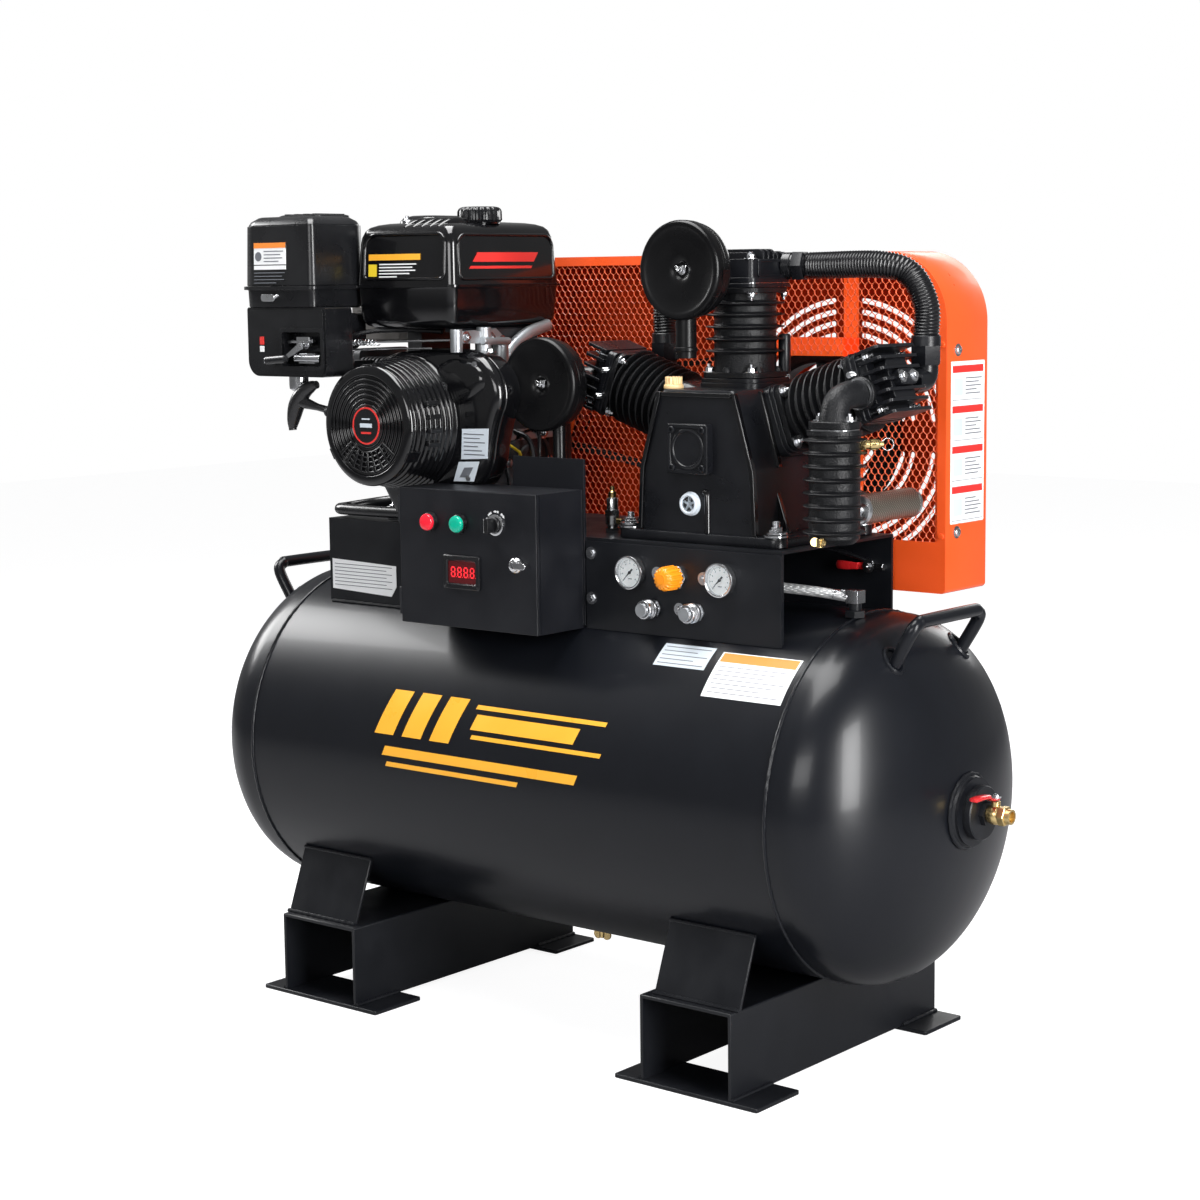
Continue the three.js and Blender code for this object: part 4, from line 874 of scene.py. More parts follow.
def build_head(side):
    """A cylinder head: plates, gasket, ribs and nuts."""
    place = bank_matrix(side)
    head, nuts, plate = Geo(), Geo(), Geo()
    for low, high, half in ((223.0, 228.4, 48), (229.4, 236.4, 47)):
        head.prism(rounded(-half, half, -half, half, 9, 6), "z", low, high, place)
    plate.prism(rounded(-46, 46, -46, 46, 8, 6), "z", 228.2, 229.6, place)
    if side == "centre":
        head.prism(rounded(-46, 44, -45, 58, 7, 6), "z", 236, 262, place)
        for x in (44, -46.5):
            frame_in, frame_out = rounded(-27, 34, 240, 258, 3, 5), rounded(-32, 39, 236.5, 261.5, 5, 5)
            rings = [[place @ Vector((t, y, z)) for y, z in ring]
                     for t, ring in ((x, frame_out), (x + 2.5, frame_out), (x + 2.5, frame_in),
                                     (x, frame_in))]
            head.loft(rings, closed=True)
        along = place @ Matrix.Rotation(math.pi / 2, 4, "Z")
        rib_row(head, along, (-36, -24), 5, 36, 258, 271, 7)
        rib_row(head, along, (-12, 0, 12), 5, 42, 258, 276, 9)
        rib_row(head, along, (24, 36), 5, 40, 258, 273, 8)
        head.prism(rounded(-30, 28, -30, 30, 8, 6), "z", 262, 268, place)
        for y in (-39, 39):
            for x in (-40, 38):
                nuts.bolt((x, y, 262), Z, 5.4, 5.5, 3, 1.3, matrix=place)
    else:
        head.prism(rounded(-43, 43, -43, 43, 6, 6), "z", 236, 250, place)
        head.prism(rounded(-30, 30, -26, 26, 8, 6), "z", 250, 270, place)
        rib_row(head, place, [-45 + 15 * k for k in range(7)], 4.4, 47.6, 240, 277.6, 6)
        head.prism(rounded(-11, 11, -20, 20, 5, 6), "z", 262, 282, place)
        for y in (-40, 40):
            for x in (-37.5, 37.5):
                nuts.bolt((x, y, 250), Z, 4.6, 5, 6, 1.2, matrix=place)
                nuts.lathe([(0, 236), (3, 236), (3, 252), (0, 252)],
                           matrix=place @ Matrix.Translation((x, y, 0)))
        nuts.bolt((0, -14, 282), Z, 5, 5, 0, 1.2, matrix=place)
        nuts.bolt((0, 14, 282), Z, 5, 5, 0, 1.2, matrix=place)
        for x in (-20, 20):
            nuts.lathe([(0, 0)] + [(4.2 - 0.9 * (k % 2), 1 + k * 1.5) for k in range(9)] + [(0, 14)],
                       (x, -47, 230), FRONT, 16, matrix=place)
    head.out(f"head_body_{side}", SMOOTH_CAST, stands_for=f"head_{side}", bevel=1.0)
    plate.out(f"head_gasket_{side}", ZINC)
    nuts.out(f"head_nuts_{side}", ZINC)


def build_crankcase():
    """The case with its ribs, cover, sight glass, plug, bolts and breather."""
    def side_line(z):
        """Half width of the case at a height."""
        if z < 843:
            return 101 - 5 * (z - DECK_FACE) / 103
        return 96 - 32 * (z - 843) / 110

    case = Geo()
    heights = [748, 760, 800, 838, 843, 848, 880, 920, 946, 950, 952.4, 953]
    loops = []
    for z in heights:
        tuck = max(0, z - 946) ** 1.6 * 0.12
        w = side_line(z) - tuck
        loops.append([(PUMP_X + x, y, z) for x, y in rounded(-w, w, -114.5 + tuck, 114.5 - tuck, 7, 5)])
    case.loft(loops)
    base = [[(PUMP_X + x, y, z) for x, y in rounded(-140 + i, 140 - i, -120 + i, 120 - i, 12, 6)]
            for z, i in ((DECK_FACE, 0.6), (741.4, 0), (751.5, 0), (754, 1.2), (755, 3.6))]
    case.loft(base)
    for x in (PUMP_X - 128, PUMP_X + 128):
        for y in (-104, 104):
            case.lathe([(0, 741), (15, 741), (15, 758), (14, 759.5), (0, 759.5)], (x, y, 0), Z, 32)
    for side, (tilt, _) in BANKS.items():
        place = bank_matrix(side)
        low = 62 if tilt else 74
        for half, a, b in ((51, low, 90), (49.5, 90, 96.2)):
            case.prism(rounded(-half, half, -half, half, 17, 6), "z", a, b, place)
    case.lathe([(0, 100), (46, 100), (46, 118), (43, 121), (34, 121), (34, 119), (20.5, 119), (0, 119)],
               (PUMP_X, 0, PUMP_Z), Y, 56)
    case.out("case_body", SMOOTH_CAST, stands_for="crankcase", bevel=1.6, steps=3)

    ribs = Geo()
    for s in (-1, 1):
        for y0, y1, proud, low in ((-119, -110, 2.2, 756), (-58, -49, 4.2, 846), (49, 58, 4.2, 846),
                                   (110, 119, 2.2, 756)):
            outer = [(PUMP_X + s * (side_line(z) + proud), z) for z in (low, 843, 950) if z >= low]
            inner = [(PUMP_X + s * (side_line(z) - 4.4), z) for z in (950, 843, low) if z >= low]
            ribs.prism(outer + inner, "y", y0, y1)
        for y in (-60, 50):
            top = PUMP_X + s * side_line(812)
            foot = PUMP_X + s * (side_line(756) + 16)
            ribs.prism([(PUMP_X + s * 90, 755), (foot, 755), (foot, 758), (top, 812),
                        (PUMP_X + s * 90, 812)], "y", y, y + 7)
    ribs.box(PUMP_X - 60, PUMP_X + 60, -118.4, -112, 943, 949.5)
    ribs.box(PUMP_X - 60, PUMP_X + 60, 112, 118.4, 943, 949.5)
    ribs.tube([(293, -115, 754), (293, -115, 806), (291, -114.5, 811), (287, -114, 813)], 4.6, 16)
    ribs.out("case_ribs", ENGINE, bevel=1.2, steps=3)

    cover = Geo()
    x0, x1, z0, z1 = 233.2, 302.8, 837.2, 906.8
    rim = [[(x, y, z) for x, z in rounded(x0 + i, x1 - i, z0 + i, z1 - i, 4, 4)]
           for y, i in ((-115.2, 0), (-127.6, 0), (-129, 1.4), (-129, 5.6), (-127.2, 6.4), (-127.2, 12))]
    cover.loft(rim)
    cover.lathe([(0, 127.3), (28.5, 127.3), (28.5, 128.2), (27, 129), (24.5, 129), (23.4, 127.6),
                 (0, 127.6)], (268, 0, 872), FRONT, 56)
    cover.out("bearing_cover_plate", SMOOTH_CAST, stands_for="bearing_cover")
    screws = Geo()
    for x in (x0 + 8.5, x1 - 8.5):
        for z in (z0 + 8.5, z1 - 8.5):
            screws.lathe([(0, 0), (5, 0), (5, 3.4), (4.2, 4.2), (2.6, 4.2), (2.6, 2.4), (0, 2.4)],
                         (x, -127.2, z), FRONT, 20)
    screws.out("bearing_cover_screws", FRAME_PAINT)

    glass = Geo()
    glass.lathe([(13, 115.2), (17, 115.2), (17, 117), (15.8, 118), (15.8, 121), (14.8, 123.4), (12.6, 124.4),
                 (10.6, 123.2), (10.4, 119), (10.4, 115.2)], (265, 0, 795), FRONT, 48, closed=True)
    place = facing((265, -118, 795), FRONT)
    for k in range(5):
        glass.box(-1.5, 1.5, 1.5, 11, 0, 2.6, place @ Matrix.Rotation(TAU * k / 5, 4, "Z"))
    glass.lathe([(0, -0.5), (3, -0.5), (3, 3.4), (0, 3.4)], (265, -118, 795), FRONT, 20)
    glass.out("sight_glass_ring", PALE_PAPER, stands_for="oil_sight_glass", bevel=0.4)
    dark = Geo().lathe([(0, 115.4), (10.6, 115.4), (10.6, 118.2), (0, 118.2)], (265, 0, 795), FRONT, 32)
    dark.out("sight_glass_dark", INK)
    lens = Geo().lathe([(0, 121.4), (10.5, 121.4), (10.5, 122.2), (6, 123), (0, 123.2)], (265, 0, 795),
                       FRONT, 32)
    lens.out("sight_glass_lens", GLASS)

    plug = Geo()
    plug.lathe([(0, -8), (8, -8), (8, 0.2), (13.6, 0.2), (14, 1.2), (14, 5), (12.6, 6.4), (0, 6.4)],
               (220, -95, 953), Z, 40)
    star = [(220 + (11.8 + 0.8 * math.cos(14 * a)) * math.cos(a),
             -95 + (11.8 + 0.8 * math.cos(14 * a)) * math.sin(a))
            for a in angles(112)]
    plug.prism(star, "z", 959, 970)
    plug.out("oil_filler_plug", CREAM, "oil_plug", "oil_plug", bevel=0.7, angle=50)

    feet = Geo()
    for x in (PUMP_X - 128, PUMP_X + 128):
        for y in (-104, 104):
            feet.bolt((x, y, 759.5), Z, 8.4, 7.5, 8, 2.2)
    feet.out("pump_foot_bolts", ZINC)

    breather = Geo()
    breather.lathe([(0, 952), (8.6, 952), (8.6, 962), (6, 964), (6, 972), (8.8, 974), (8.8, 1024),
                    (7.4, 1027), (0, 1027)], (316, 38, 0), Z, 28)
    breather.out("case_breather", FRAME_PAINT)
    nut = Geo().lathe([(0, 963), (8.6, 963), (8.6, 970), (0, 970)], (316, 38, 0), Z, 6)
    nut.out("case_breather_nut", ZINC)
    dress("pump_crankshaft", STEEL, 1.0)


def build_filters():
    """Two disc intake filters with wing nuts, inlet pipes and elbows."""
    for name, x, z, pipe_x, pipe_r, low in (("top", 244, 1117.6, 242, 15, 996),
                                            ("low", -16, 955, 8, 10, 813)):
        disc = Geo()
        disc.lathe([(0, 0), (56, 0), (62, 1.4), (65, 4.6), (66.4, 9), (66.4, 16.4), (65.2, 17), (65.2, 18.2),
                    (68.2, 18.8), (68.6, 20), (68.6, 24.6), (67.4, 25.4), (67.4, 26.6), (69, 27.2),
                    (69, 34.5), (68.2, 37.6), (66, 39.6), (62.6, 40), (59.4, 38.8), (56, 37.4), (40, 36.4),
                    (22, 35.4), (15.5, 34.6), (12.4, 32.6), (10, 30.4), (5, 29.8), (0, 29.8)],
                   (x, -75, z), FRONT, 96)
        disc.rod((x, -60, z), (x, -76, z), 24, 40)
        for k in range(3):
            a = TAU * (k + 0.2) / 3
            disc.box(-7, 7, 64, 70.2, 15, 29, facing((x, -75, z), FRONT) @ Matrix.Rotation(a, 4, "Z"))
        profile = [(pipe_r, 0), (pipe_r, 0.78), (pipe_r * 1.12, 0.8), (pipe_r * 1.12, 0.86), (pipe_r, 0.88),
                   (pipe_r, 1)]
        top = z - 50
        length = top - low
        disc.lathe([(0, 0)] + [(r, t * length) for r, t in profile] + [(0, length)], (pipe_x, -95, top),
                   -Z, 36)
        disc.out(f"filter_shell_{name}", DISC_BLACK, stands_for=f"intake_filter_{name}")
        nut = Geo().lathe([(0, 29), (6.4, 29), (6.4, 31), (0, 31)], (x, -75, z), FRONT, 28)
        nut.lathe([(0, 30), (2.2, 30), (2.2, 41), (1.6, 41.6), (0, 41.6)], (x, -75, z), FRONT, 16)
        nut.lathe([(0, 31), (4.6, 31), (4.2, 36), (0, 36)], (x, -75, z), FRONT, 6)
        for s in (-1, 1):
            nut.prism([(x + s * 2, z - 1), (x + s * 9, z + 1.5), (x + s * 10, z + 6.5),
                       (x + s * 7, z + 6.5), (x + s * 2, z + 3)], "y", -109.5, -107.5)
        nut.out(f"filter_wing_nut_{name}", CHROME, bevel=0.5)
    elbow = Geo()
    elbow.tube(even_path([(244, -66, 1117.6), (244, -58, 1117.6), (248, -50, 1116), (254, -46, 1114)], 4),
               20, 32)
    elbow.tube(even_path([(-16, -62, 955), (-14, -40, 956), (-2, -22, 957), (14, -12, 958)], 5), 22, 32)
    elbow.out("filter_elbows", SMOOTH_CAST)


def build_hoses():
    """Two corrugated hoses from the centre head to the side banks."""
    for name, px, py in (("left", 50, 105), ("right", 523, 81)):
        s = 1 if name == "right" else -1
        start = PUMP_X + s * 48.3
        path = even_path([(start + s * 18, 44, 1122), (start + s * 40, 50, 1122),
                          (px - s * 58, py - 22, 1122), (px - s * 20, py - 8, 1108), (px, py, 1066),
                          (px, py, 1018)], 1.5)
        hose = Geo()
        hose.tube(path, lambda k: 18.0 + (1.0, -0.7, -0.7)[k % 3], 24)
        ends = Geo()
        ends.lathe([(0, -6), (19, -6), (19, 5), (17.6, 6), (17.6, 9), (0, 9)], (start, 40, 1122),
                   (s, 0.2, 0), 40)
        nut = Geo()
        nut.lathe([(0, 8), (22, 8), (22.4, 9), (22.4, 23), (21, 24), (0, 24)], (start, 40, 1122),
                  (s, 0.26, 0), 6)
        nut.lathe([(0, 1011), (22.6, 1011), (22.6, 986), (21, 984), (0, 984)], (px, py, 0), Z, 6)
        nut.lathe([(0, 1010), (20.4, 1010), (20.4, 1024), (19.4, 1025), (0, 1025)], (px, py, 0), Z, 40)
        nut.tube(even_path([(px, py, 990), (px, py, 974), (px, py - 5, 966), (px, py - 14, 963),
                            (px, 44, 963)], 4), 17, 28)
        nut.out(f"hose_fittings_{name}", SMOOTH_CAST, bevel=0.8)
        ends.out(f"hose_collar_{name}", SATIN)
        hose.out(f"hose_{name}", HOSE, stands_for=f"intercooler_hose_{name}", angle=60)


def build_cooler():
    """The finned bottle with its elbow, relief valve, silencer, cock and pilot valve."""
    at = (497, -104, 0)
    body = Geo()
    fins = [768 + 17.6 * k for k in range(8)]
    body.lathe([(0, 752), (26, 752), (30, 755)] + fin_profile(34.5, 760, 897, fins, 42.6,
                                                              2.6) + [(0, 897)], at, Z, 72)
    body.lathe([(0, 897), (36, 897), (37, 898), (37, 904), (0, 904)], at, Z, 56)
    top = [[(497 + x, -104 + y, z) for x, y in rounded(-33 + i, 33 - i, -26 + i, 26 - i, 18, 6)]
           for z, i in ((905.6, 0.8), (906.6, 0), (915, 0), (916, 0.8))]
    body.loft(top)
    path = even_path([(497, -104, 914), (497, -104, 926), (497.5, -97, 941), (500, -78, 949),
                      (503, -56, 950)], 3)
    body.tube(path, lambda k: 18.8 if k > 3 else 22.5 - 0.9 * k, 40)
    body.lathe([(0, 0), (23, 0), (23, 5), (21.6, 6.4), (0, 6.4)], (504, -49, 950), FRONT, 48)
    body.rod((497, -74, 793), (497, -66, 793), 16, 6)
    body.out("aftercooler_body", CASTING, stands_for="aftercooler")
    seam = Geo()
    seam.prism([(497 + x, -104 + y) for x, y in rounded(-31.6, 31.6, -24.8, 24.8, 17, 6)], "z", 903.6, 906)
    seam.lathe([(18.4, 0), (21.6, 0), (21.6, 2), (18.4, 2)], (503.6, -55.6, 950), FRONT, 48, closed=True)
    for x in (473, 521):
        seam.bolt((x, -104, 916), Z, 5.2, 5, 4, 1.4)
    seam.out("aftercooler_seam_bolts", ZINC)

    direction = Vector((1, 1, 0)).normalized()
    at = Vector((497, -104, 884))
    valve = Geo()
    valve.lathe([(0, 34), (8.4, 34), (8.4, 41), (0, 41)], at, direction, 6)
    valve.lathe([(0, 41), (6.4, 41), (6.4, 47), (7.6, 48), (7.6, 58), (6.4, 59.5), (6.4, 61), (4, 62),
                 (4, 66), (0, 66.6)], at, direction, 28)
    valve.lathe([(0, 50), (8.2, 50), (8.2, 55), (0, 55)], at, direction, 6)
    valve.out("relief_valve_body", BRASS, stands_for="relief_valve")
    ring = Geo()
    centre = at + direction * 72
    up = Vector((0, 0, 1))
    ring.tube([centre + 8 * (direction * math.cos(a) + up * math.sin(a)) for a in angles(32)],
              0.8, 10, closed=True)
    ring.out("relief_valve_ring", ZINC)

    silencer = Geo()
    silencer.lathe([(0, 24)] + [(r, h) for r, h in ((18, 24.4), (20.6, 26), (20.6, 152), (18, 154.5),
                                                    (0, 155))], (497, -70, 793), Y, 56)
    silencer.out("silencer_sleeve", BRAID, stands_for="blowdown_silencer")
    neck = Geo()
    neck.lathe([(0, 0.5), (15, 0.5), (15, 11), (13.6, 12.4), (0, 12.4)], (497, -70, 793), Y, 6)
    neck.lathe([(0, 11), (12, 11), (12, 15), (20, 19), (21, 21), (21, 27), (20.2, 28), (0, 28)],
               (497, -70, 793), Y, 48)
    neck.lathe([(0, 149), (21, 149), (21, 154), (18, 156.5), (0, 157)], (497, -70, 793), Y, 48)
    neck.out("silencer_neck", ZINC)
    cock = Geo()
    cock.rod((497, -128, 758), (497, -139, 756), 4.6, 16)
    cock.rod((497, -138, 750), (497, -138, 762), 5.4, 6)
    cock.lathe([(0, -1.4), (6, -1.4), (6, 1.4), (0, 1.4)], (491, -141, 757), (0.4, -1, 0.2), 20)
    cock.lathe([(0, -1.4), (6, -1.4), (6, 1.4), (0, 1.4)], (503, -141, 757), (-0.4, -1, 0.2), 20)
    cock.out("cooler_drain_cock", BRASS)

    pilot = Geo()
    at = (88, -72, 0)
    pilot.lathe([(0, 740.3), (11, 740.3), (11, 748), (0, 748)], at, Z, 6)
    pilot.lathe([(0, 748), (8, 748), (8, 752), (10.6, 753), (10.6, 766), (0, 766)], at, Z, 32)
    pilot.lathe([(0, 766), (12, 766), (12, 774), (0, 774)], at, Z, 6)
    pilot.lathe([(0, 774), (8.6, 774), (8.6, 790), (7.4, 792), (0, 792)], at, Z, 32)
    pilot.out("pilot_valve_body", ZINC, stands_for="pilot_valve")
    tip = Geo().lathe([(0, 791.6), (6, 791.6), (6, 800), (3.4, 802), (3.4, 808), (0, 810)], at, Z, 20)
    tip.rod((92, -72, 758), (106, -72, 758), 4.6, 16)
    tip.out("pilot_valve_tip", BRASS)
    line = Geo()
    line.tube(even_path([(106, -72, 758), (120, -70, 758), (130, -40, 762), (134, 20, 776), (150, 70, 800),
                         (168, 96, 850), (190, 92, 905)], 3), 3.4, 12)
    line.tube(even_path([(88, -72, 740), (84, -60, 728), (110, -20, 722), (200, 60, 724), (340, 110, 715),
                         (398, 131, 700)], 4), 3.6, 12)
    line.out("pilot_lines", HOSE)


# ---- belt guard and drive ----
GUARD_BOX = (-345, 517, 658, 1141)
GUARD_CORNERS = (100, 100, 6, 6)
GUARD_FRONT, GUARD_BACK, SHEET = 145, 258, 3
PULLEY_X, PULLEY_Z = -234, 896
SLOT_CENTRE = (280, 871)
MESH_X, MESH_Z = (-331, 503), (731, 1127)
MESH_CORNER = 86
WINDOW = (190, 366, 744, 992)   # the cut-out around the pump's shaft
HOLE_R = 60                     # the round hole for the engine's shaft


def sheet_with_holes(geo, outer, holes, y0, y1):
    """A plate across Y with openings; walls close its edges."""
    loops = [list(outer)] + [list(h) for h in holes]
    flat = [p for loop in loops for p in loop]
    n = len(flat)
    triangles = tessellate_polygon([[Vector((x, z, 0)) for x, z in loop] for loop in loops])
    faces = [tuple(t) for t in triangles] + [tuple(n + i for i in reversed(t)) for t in triangles]
    start = 0
    for loop in loops:
        m = len(loop)
        faces += [(start + i, start + (i + 1) % m, n + start + (i + 1) % m, n + start + i)
                  for i in range(m)]
        start += m
    return geo.add([(x, y0, z) for x, z in flat] + [(x, y1, z) for x, z in flat], faces)


def arc_slot(radius, quadrant, width=8, bar=26):
    """A curved slot with rounded ends in one quadrant around the pump's wheel."""
    cx, cz = SLOT_CENTRE
    a0 = quadrant * math.pi / 2 + math.asin(bar / radius)
    a1 = (quadrant + 1) * math.pi / 2 - math.asin(bar / radius)
    steps = max(6, round(radius * (a1 - a0) / 8))
    half = width / 2
    points = [(cx + (radius + half) * math.cos(a0 + (a1 - a0) * k / steps),
               cz + (radius + half) * math.sin(a0 + (a1 - a0) * k / steps)) for k in range(steps + 1)]
    for end, sweep in ((a1, 1), (a0, -1)):
        mx, mz = cx + radius * math.cos(end), cz + radius * math.sin(end)
        turn = end if sweep > 0 else end + math.pi
        points += [(mx + half * math.cos(turn + math.pi * k / 6),
                    mz + half * math.sin(turn + math.pi * k / 6))
                   for k in range(1, 6)]
        if sweep > 0:
            points += [(cx + (radius - half) * math.cos(a1 + (a0 - a1) * k / steps),
                        cz + (radius - half) * math.sin(a1 + (a0 - a1) * k / steps))
                       for k in range(steps + 1)]
    return points


def build_guard():
    """The guard's rim, slotted back with a dark sheet of painted shade on its inside, front frame and the
    strips behind the mesh.
    """
    x0, x1, z0, z1 = GUARD_BOX
    band = Geo()
    rings = []
    for y, i in ((GUARD_FRONT + 3, 1.2), (GUARD_FRONT + 3.4, 0.2), (GUARD_FRONT + 5, 0),
                 (GUARD_BACK - 3.4, 0), (GUARD_BACK - 0.6, 1.0), (GUARD_BACK, 3.2),
                 (GUARD_BACK - SHEET, 3.4), (GUARD_BACK - SHEET, SHEET), (GUARD_FRONT + 3, SHEET)):
        corners = [max(c - i, 1) for c in GUARD_CORNERS]
        rings.append([(x, y, z) for x, z in rounded(x0 + i, x1 - i, z0 + i, z1 - i, corners, 20)])
    band.loft(rings, closed=True)
    band.box(x1 - SHEET - 16, x1 - SHEET, GUARD_FRONT + 3, GUARD_FRONT + 6, z0 + 8, z1 - 104)
    band.box(x0 + SHEET, x0 + SHEET + 16, GUARD_FRONT + 3, GUARD_FRONT + 6, z0 + 8, z1 - 104)
    slots = [arc_slot(201, q) for q in (0, 1)]
    slots += [arc_slot(r, q) for r in (48, 65, 82, 99, 116, 150, 167, 184) for q in range(4)]
    corners = [max(c - 3.2, 1) for c in GUARD_CORNERS]
    sheet_with_holes(band, rounded(x0 + 3.2, x1 - 3.2, z0 + 3.2, z1 - 3.2, corners, 20), slots,
                     GUARD_BACK - SHEET, GUARD_BACK)
    band.out("guard_shell", ORANGE, stands_for="belt_guard_shell")
    # A dark sheet of painted shade just inside the slotted back.
    skin = Geo()
    corners = [max(c - SHEET - 0.4, 1) for c in GUARD_CORNERS]
    sheet_with_holes(skin, rounded(x0 + 3.4, x1 - 3.4, z0 + 3.4, z1 - 3.4, corners, 20), slots,
                     GUARD_BACK - SHEET - 0.6, GUARD_BACK - SHEET - 0.1)
    skin.out("guard_painted_shade_sheet", GUARD_PAINTED_SHADE)

    front = Geo()
    opening = rounded(MESH_X[0], MESH_X[1], MESH_Z[0], MESH_Z[1], (MESH_CORNER, MESH_CORNER, 3, 3), 16)
    outline = rounded(x0, x1, z0, z1, GUARD_CORNERS, 20)
    sheet_with_holes(front, outline, [opening], GUARD_FRONT, GUARD_FRONT + 2.8)
    for x, z in ((x0 + 9, 1010), (x0 + 9, 740), (x1 - 7, 1010), (x1 - 7, 740)):
        front.lathe([(0, 0), (4.5, 0), (4, 1.6), (0, 2)], (x, GUARD_FRONT, z), FRONT, 20)
    wx0, wx1, wz0, wz1 = WINDOW
    # The strips behind the mesh glow with painted light.
    strips = Geo()
    for a, b, c, d in ((wx1 - 25, wx1, wz1 - 10, MESH_Z[1] + 6), (wx0 - 8, wx1, wz1, wz1 + 27),
                       (wx0 - 12, wx0, wz0, wz1), (wx1, wx1 + 8, wz0, wz1)):
        strips.box(a, b, GUARD_FRONT + 5.4, GUARD_FRONT + 7.6, c, d)
    ring = [(HOLE_R, 145.4), (HOLE_R + 9, 145.4), (HOLE_R + 9, 147.6), (HOLE_R, 147.6)]
    front.lathe(ring, (PULLEY_X, 0, PULLEY_Z), Y, 56, closed=True)
    front.out("guard_front_frame", ORANGE, stands_for="belt_guard_grille")
    strips.out("guard_window_strips", STRIP_PAINTED_GLOW)


def build_mesh():
    """Expanded metal: upright strands that swing left and right and meet their neighbours."""
    mesh = Geo()
    cell_w, cell_h = 11.6, 17.6
    wave = [(0.0, -1.0), (0.14, -0.82), (0.30, 0.25), (0.46, 0.96), (0.58, 1.0), (0.70, 0.62), (0.86, -0.55)]
    columns = int((MESH_X[1] - MESH_X[0]) / (cell_w / 2))
    rows = int((MESH_Z[1] - MESH_Z[0]) / cell_h) + 2
    y = GUARD_FRONT + 2.4

    def inside(x, z):
        if not (MESH_X[0] - 2 < x < MESH_X[1] + 2 and MESH_Z[0] - 4 < z < MESH_Z[1] + 2):
            return False
        if WINDOW[0] < x < WINDOW[1] and WINDOW[2] < z < WINDOW[3]:
            return False
        corner_z = MESH_Z[1] - MESH_CORNER
        for cx in (MESH_X[0] + MESH_CORNER, MESH_X[1] - MESH_CORNER):
            beyond = (cx - x if cx < 0 else x - cx)
            if beyond > 0 and z > corner_z and math.hypot(x - cx, z - corner_z) > MESH_CORNER + 2:
                return False
        return math.hypot(x - PULLEY_X, z - PULLEY_Z) > HOLE_R + 2

    for column in range(columns + 1):
        x_mid = MESH_X[0] + column * cell_w / 2
        swing = 1 if column % 2 else -1
        run = []
        for row in range(rows):
            for t, lean in wave:
                z = MESH_Z[0] + (row + t) * cell_h - cell_h / 2
                x = x_mid + swing * lean * cell_w * 0.25
                if inside(x, z):
                    run.append((x, y + 0.8 * lean * swing, z))
                else:
                    strand(mesh, run)
                    run = []
        strand(mesh, run)
    mesh.out("guard_expanded_mesh", MESH_ORANGE, flat=True)


def strand(geo, run):
    """A thin diamond-section wire along the run, if it has any length."""
    if len(run) < 2:
        return
    verts, faces = [], []
    for x, y, z in run:
        verts += [(x - 1.05, y, z), (x, y - 0.95, z), (x + 1.05, y, z), (x, y + 0.95, z)]
    for k in range(len(run) - 1):
        faces += [(4 * k + i, 4 * k + (i + 1) % 4, 4 * k + 4 + (i + 1) % 4, 4 * k + 4 + i)
                  for i in range(4)]
    last = 4 * (len(run) - 1)
    faces += [(0, 1, 2, 3), (last, last + 1, last + 2, last + 3)]
    geo.add(verts, faces)


def build_guard_labels():
    """The side face's sheet of plain panels, and its two bolts."""
    x = GUARD_BOX[1]
    sheet, red, grey, ink = Geo(), Geo(), Geo(), Geo()
    sheet.prism(rounded(157, 248, 756, 986, 2, 4), "x", x - 0.2, x + 0.4)
    for k in range(4):
        top = 980 - 57 * k
        red.box(x + 0.3, x + 0.6, 161, 244, top - 10, top)
        ink.prism(rounded(165, 189, top - 42, top - 18, 3, 4), "x", x + 0.3, x + 0.55)
        for i in range(5):
            grey.box(x + 0.3, x + 0.6, 196, (240, 232, 238, 226, 236)[(i + k) % 5], top - 19 - i * 5.4,
                     top - 17.4 - i * 5.4)
        grey.box(x + 0.3, x + 0.6, 161, 244, top - 49, top - 48.2)
    sheet.out("guard_label_sheet", PAPER)
    red.out("guard_label_headers", BAND_RED)
    grey.out("guard_label_lines", GREY_INK)
    ink.out("guard_label_squares", PALE_PAPER)
    bolts = Geo()
    for z in (744, 1002):
        bolts.lathe([(0, -0.5), (9, -0.5), (9, 0.9), (0, 0.9)], (x, 175, z), X, 28)
        bolts.lathe([(0, 0.8), (6.4, 0.8), (6.2, 3.2), (4.6, 4.6), (2.4, 5.0), (2.4, 3.6), (0, 3.6)],
                    (x, 175, z), X, 24)
    bolts.out("guard_side_bolts", ZINC)


def belt_loop(offset):
    """Points of a belt's run around the wheel and the small pulley, offset outwards."""
    big, small = (PUMP_X, PUMP_Z, 120 + offset), (PULLEY_X, PULLEY_Z, 45 + offset)
    dx, dz = small[0] - big[0], small[1] - big[1]
    gap = math.hypot(dx, dz)
    base = math.atan2(dz, dx)
    lean = math.acos((big[2] - small[2]) / gap)
    points = []
    for (cx, cz, r), a0, a1, steps in ((big, base + lean, base + TAU - lean, 72),
                                       (small, base - lean, base + lean, 28)):
        points += [(cx + r * math.cos(a0 + (a1 - a0) * k / steps),
                    cz + r * math.sin(a0 + (a1 - a0) * k / steps))
                   for k in range(steps + 1)]
    return points


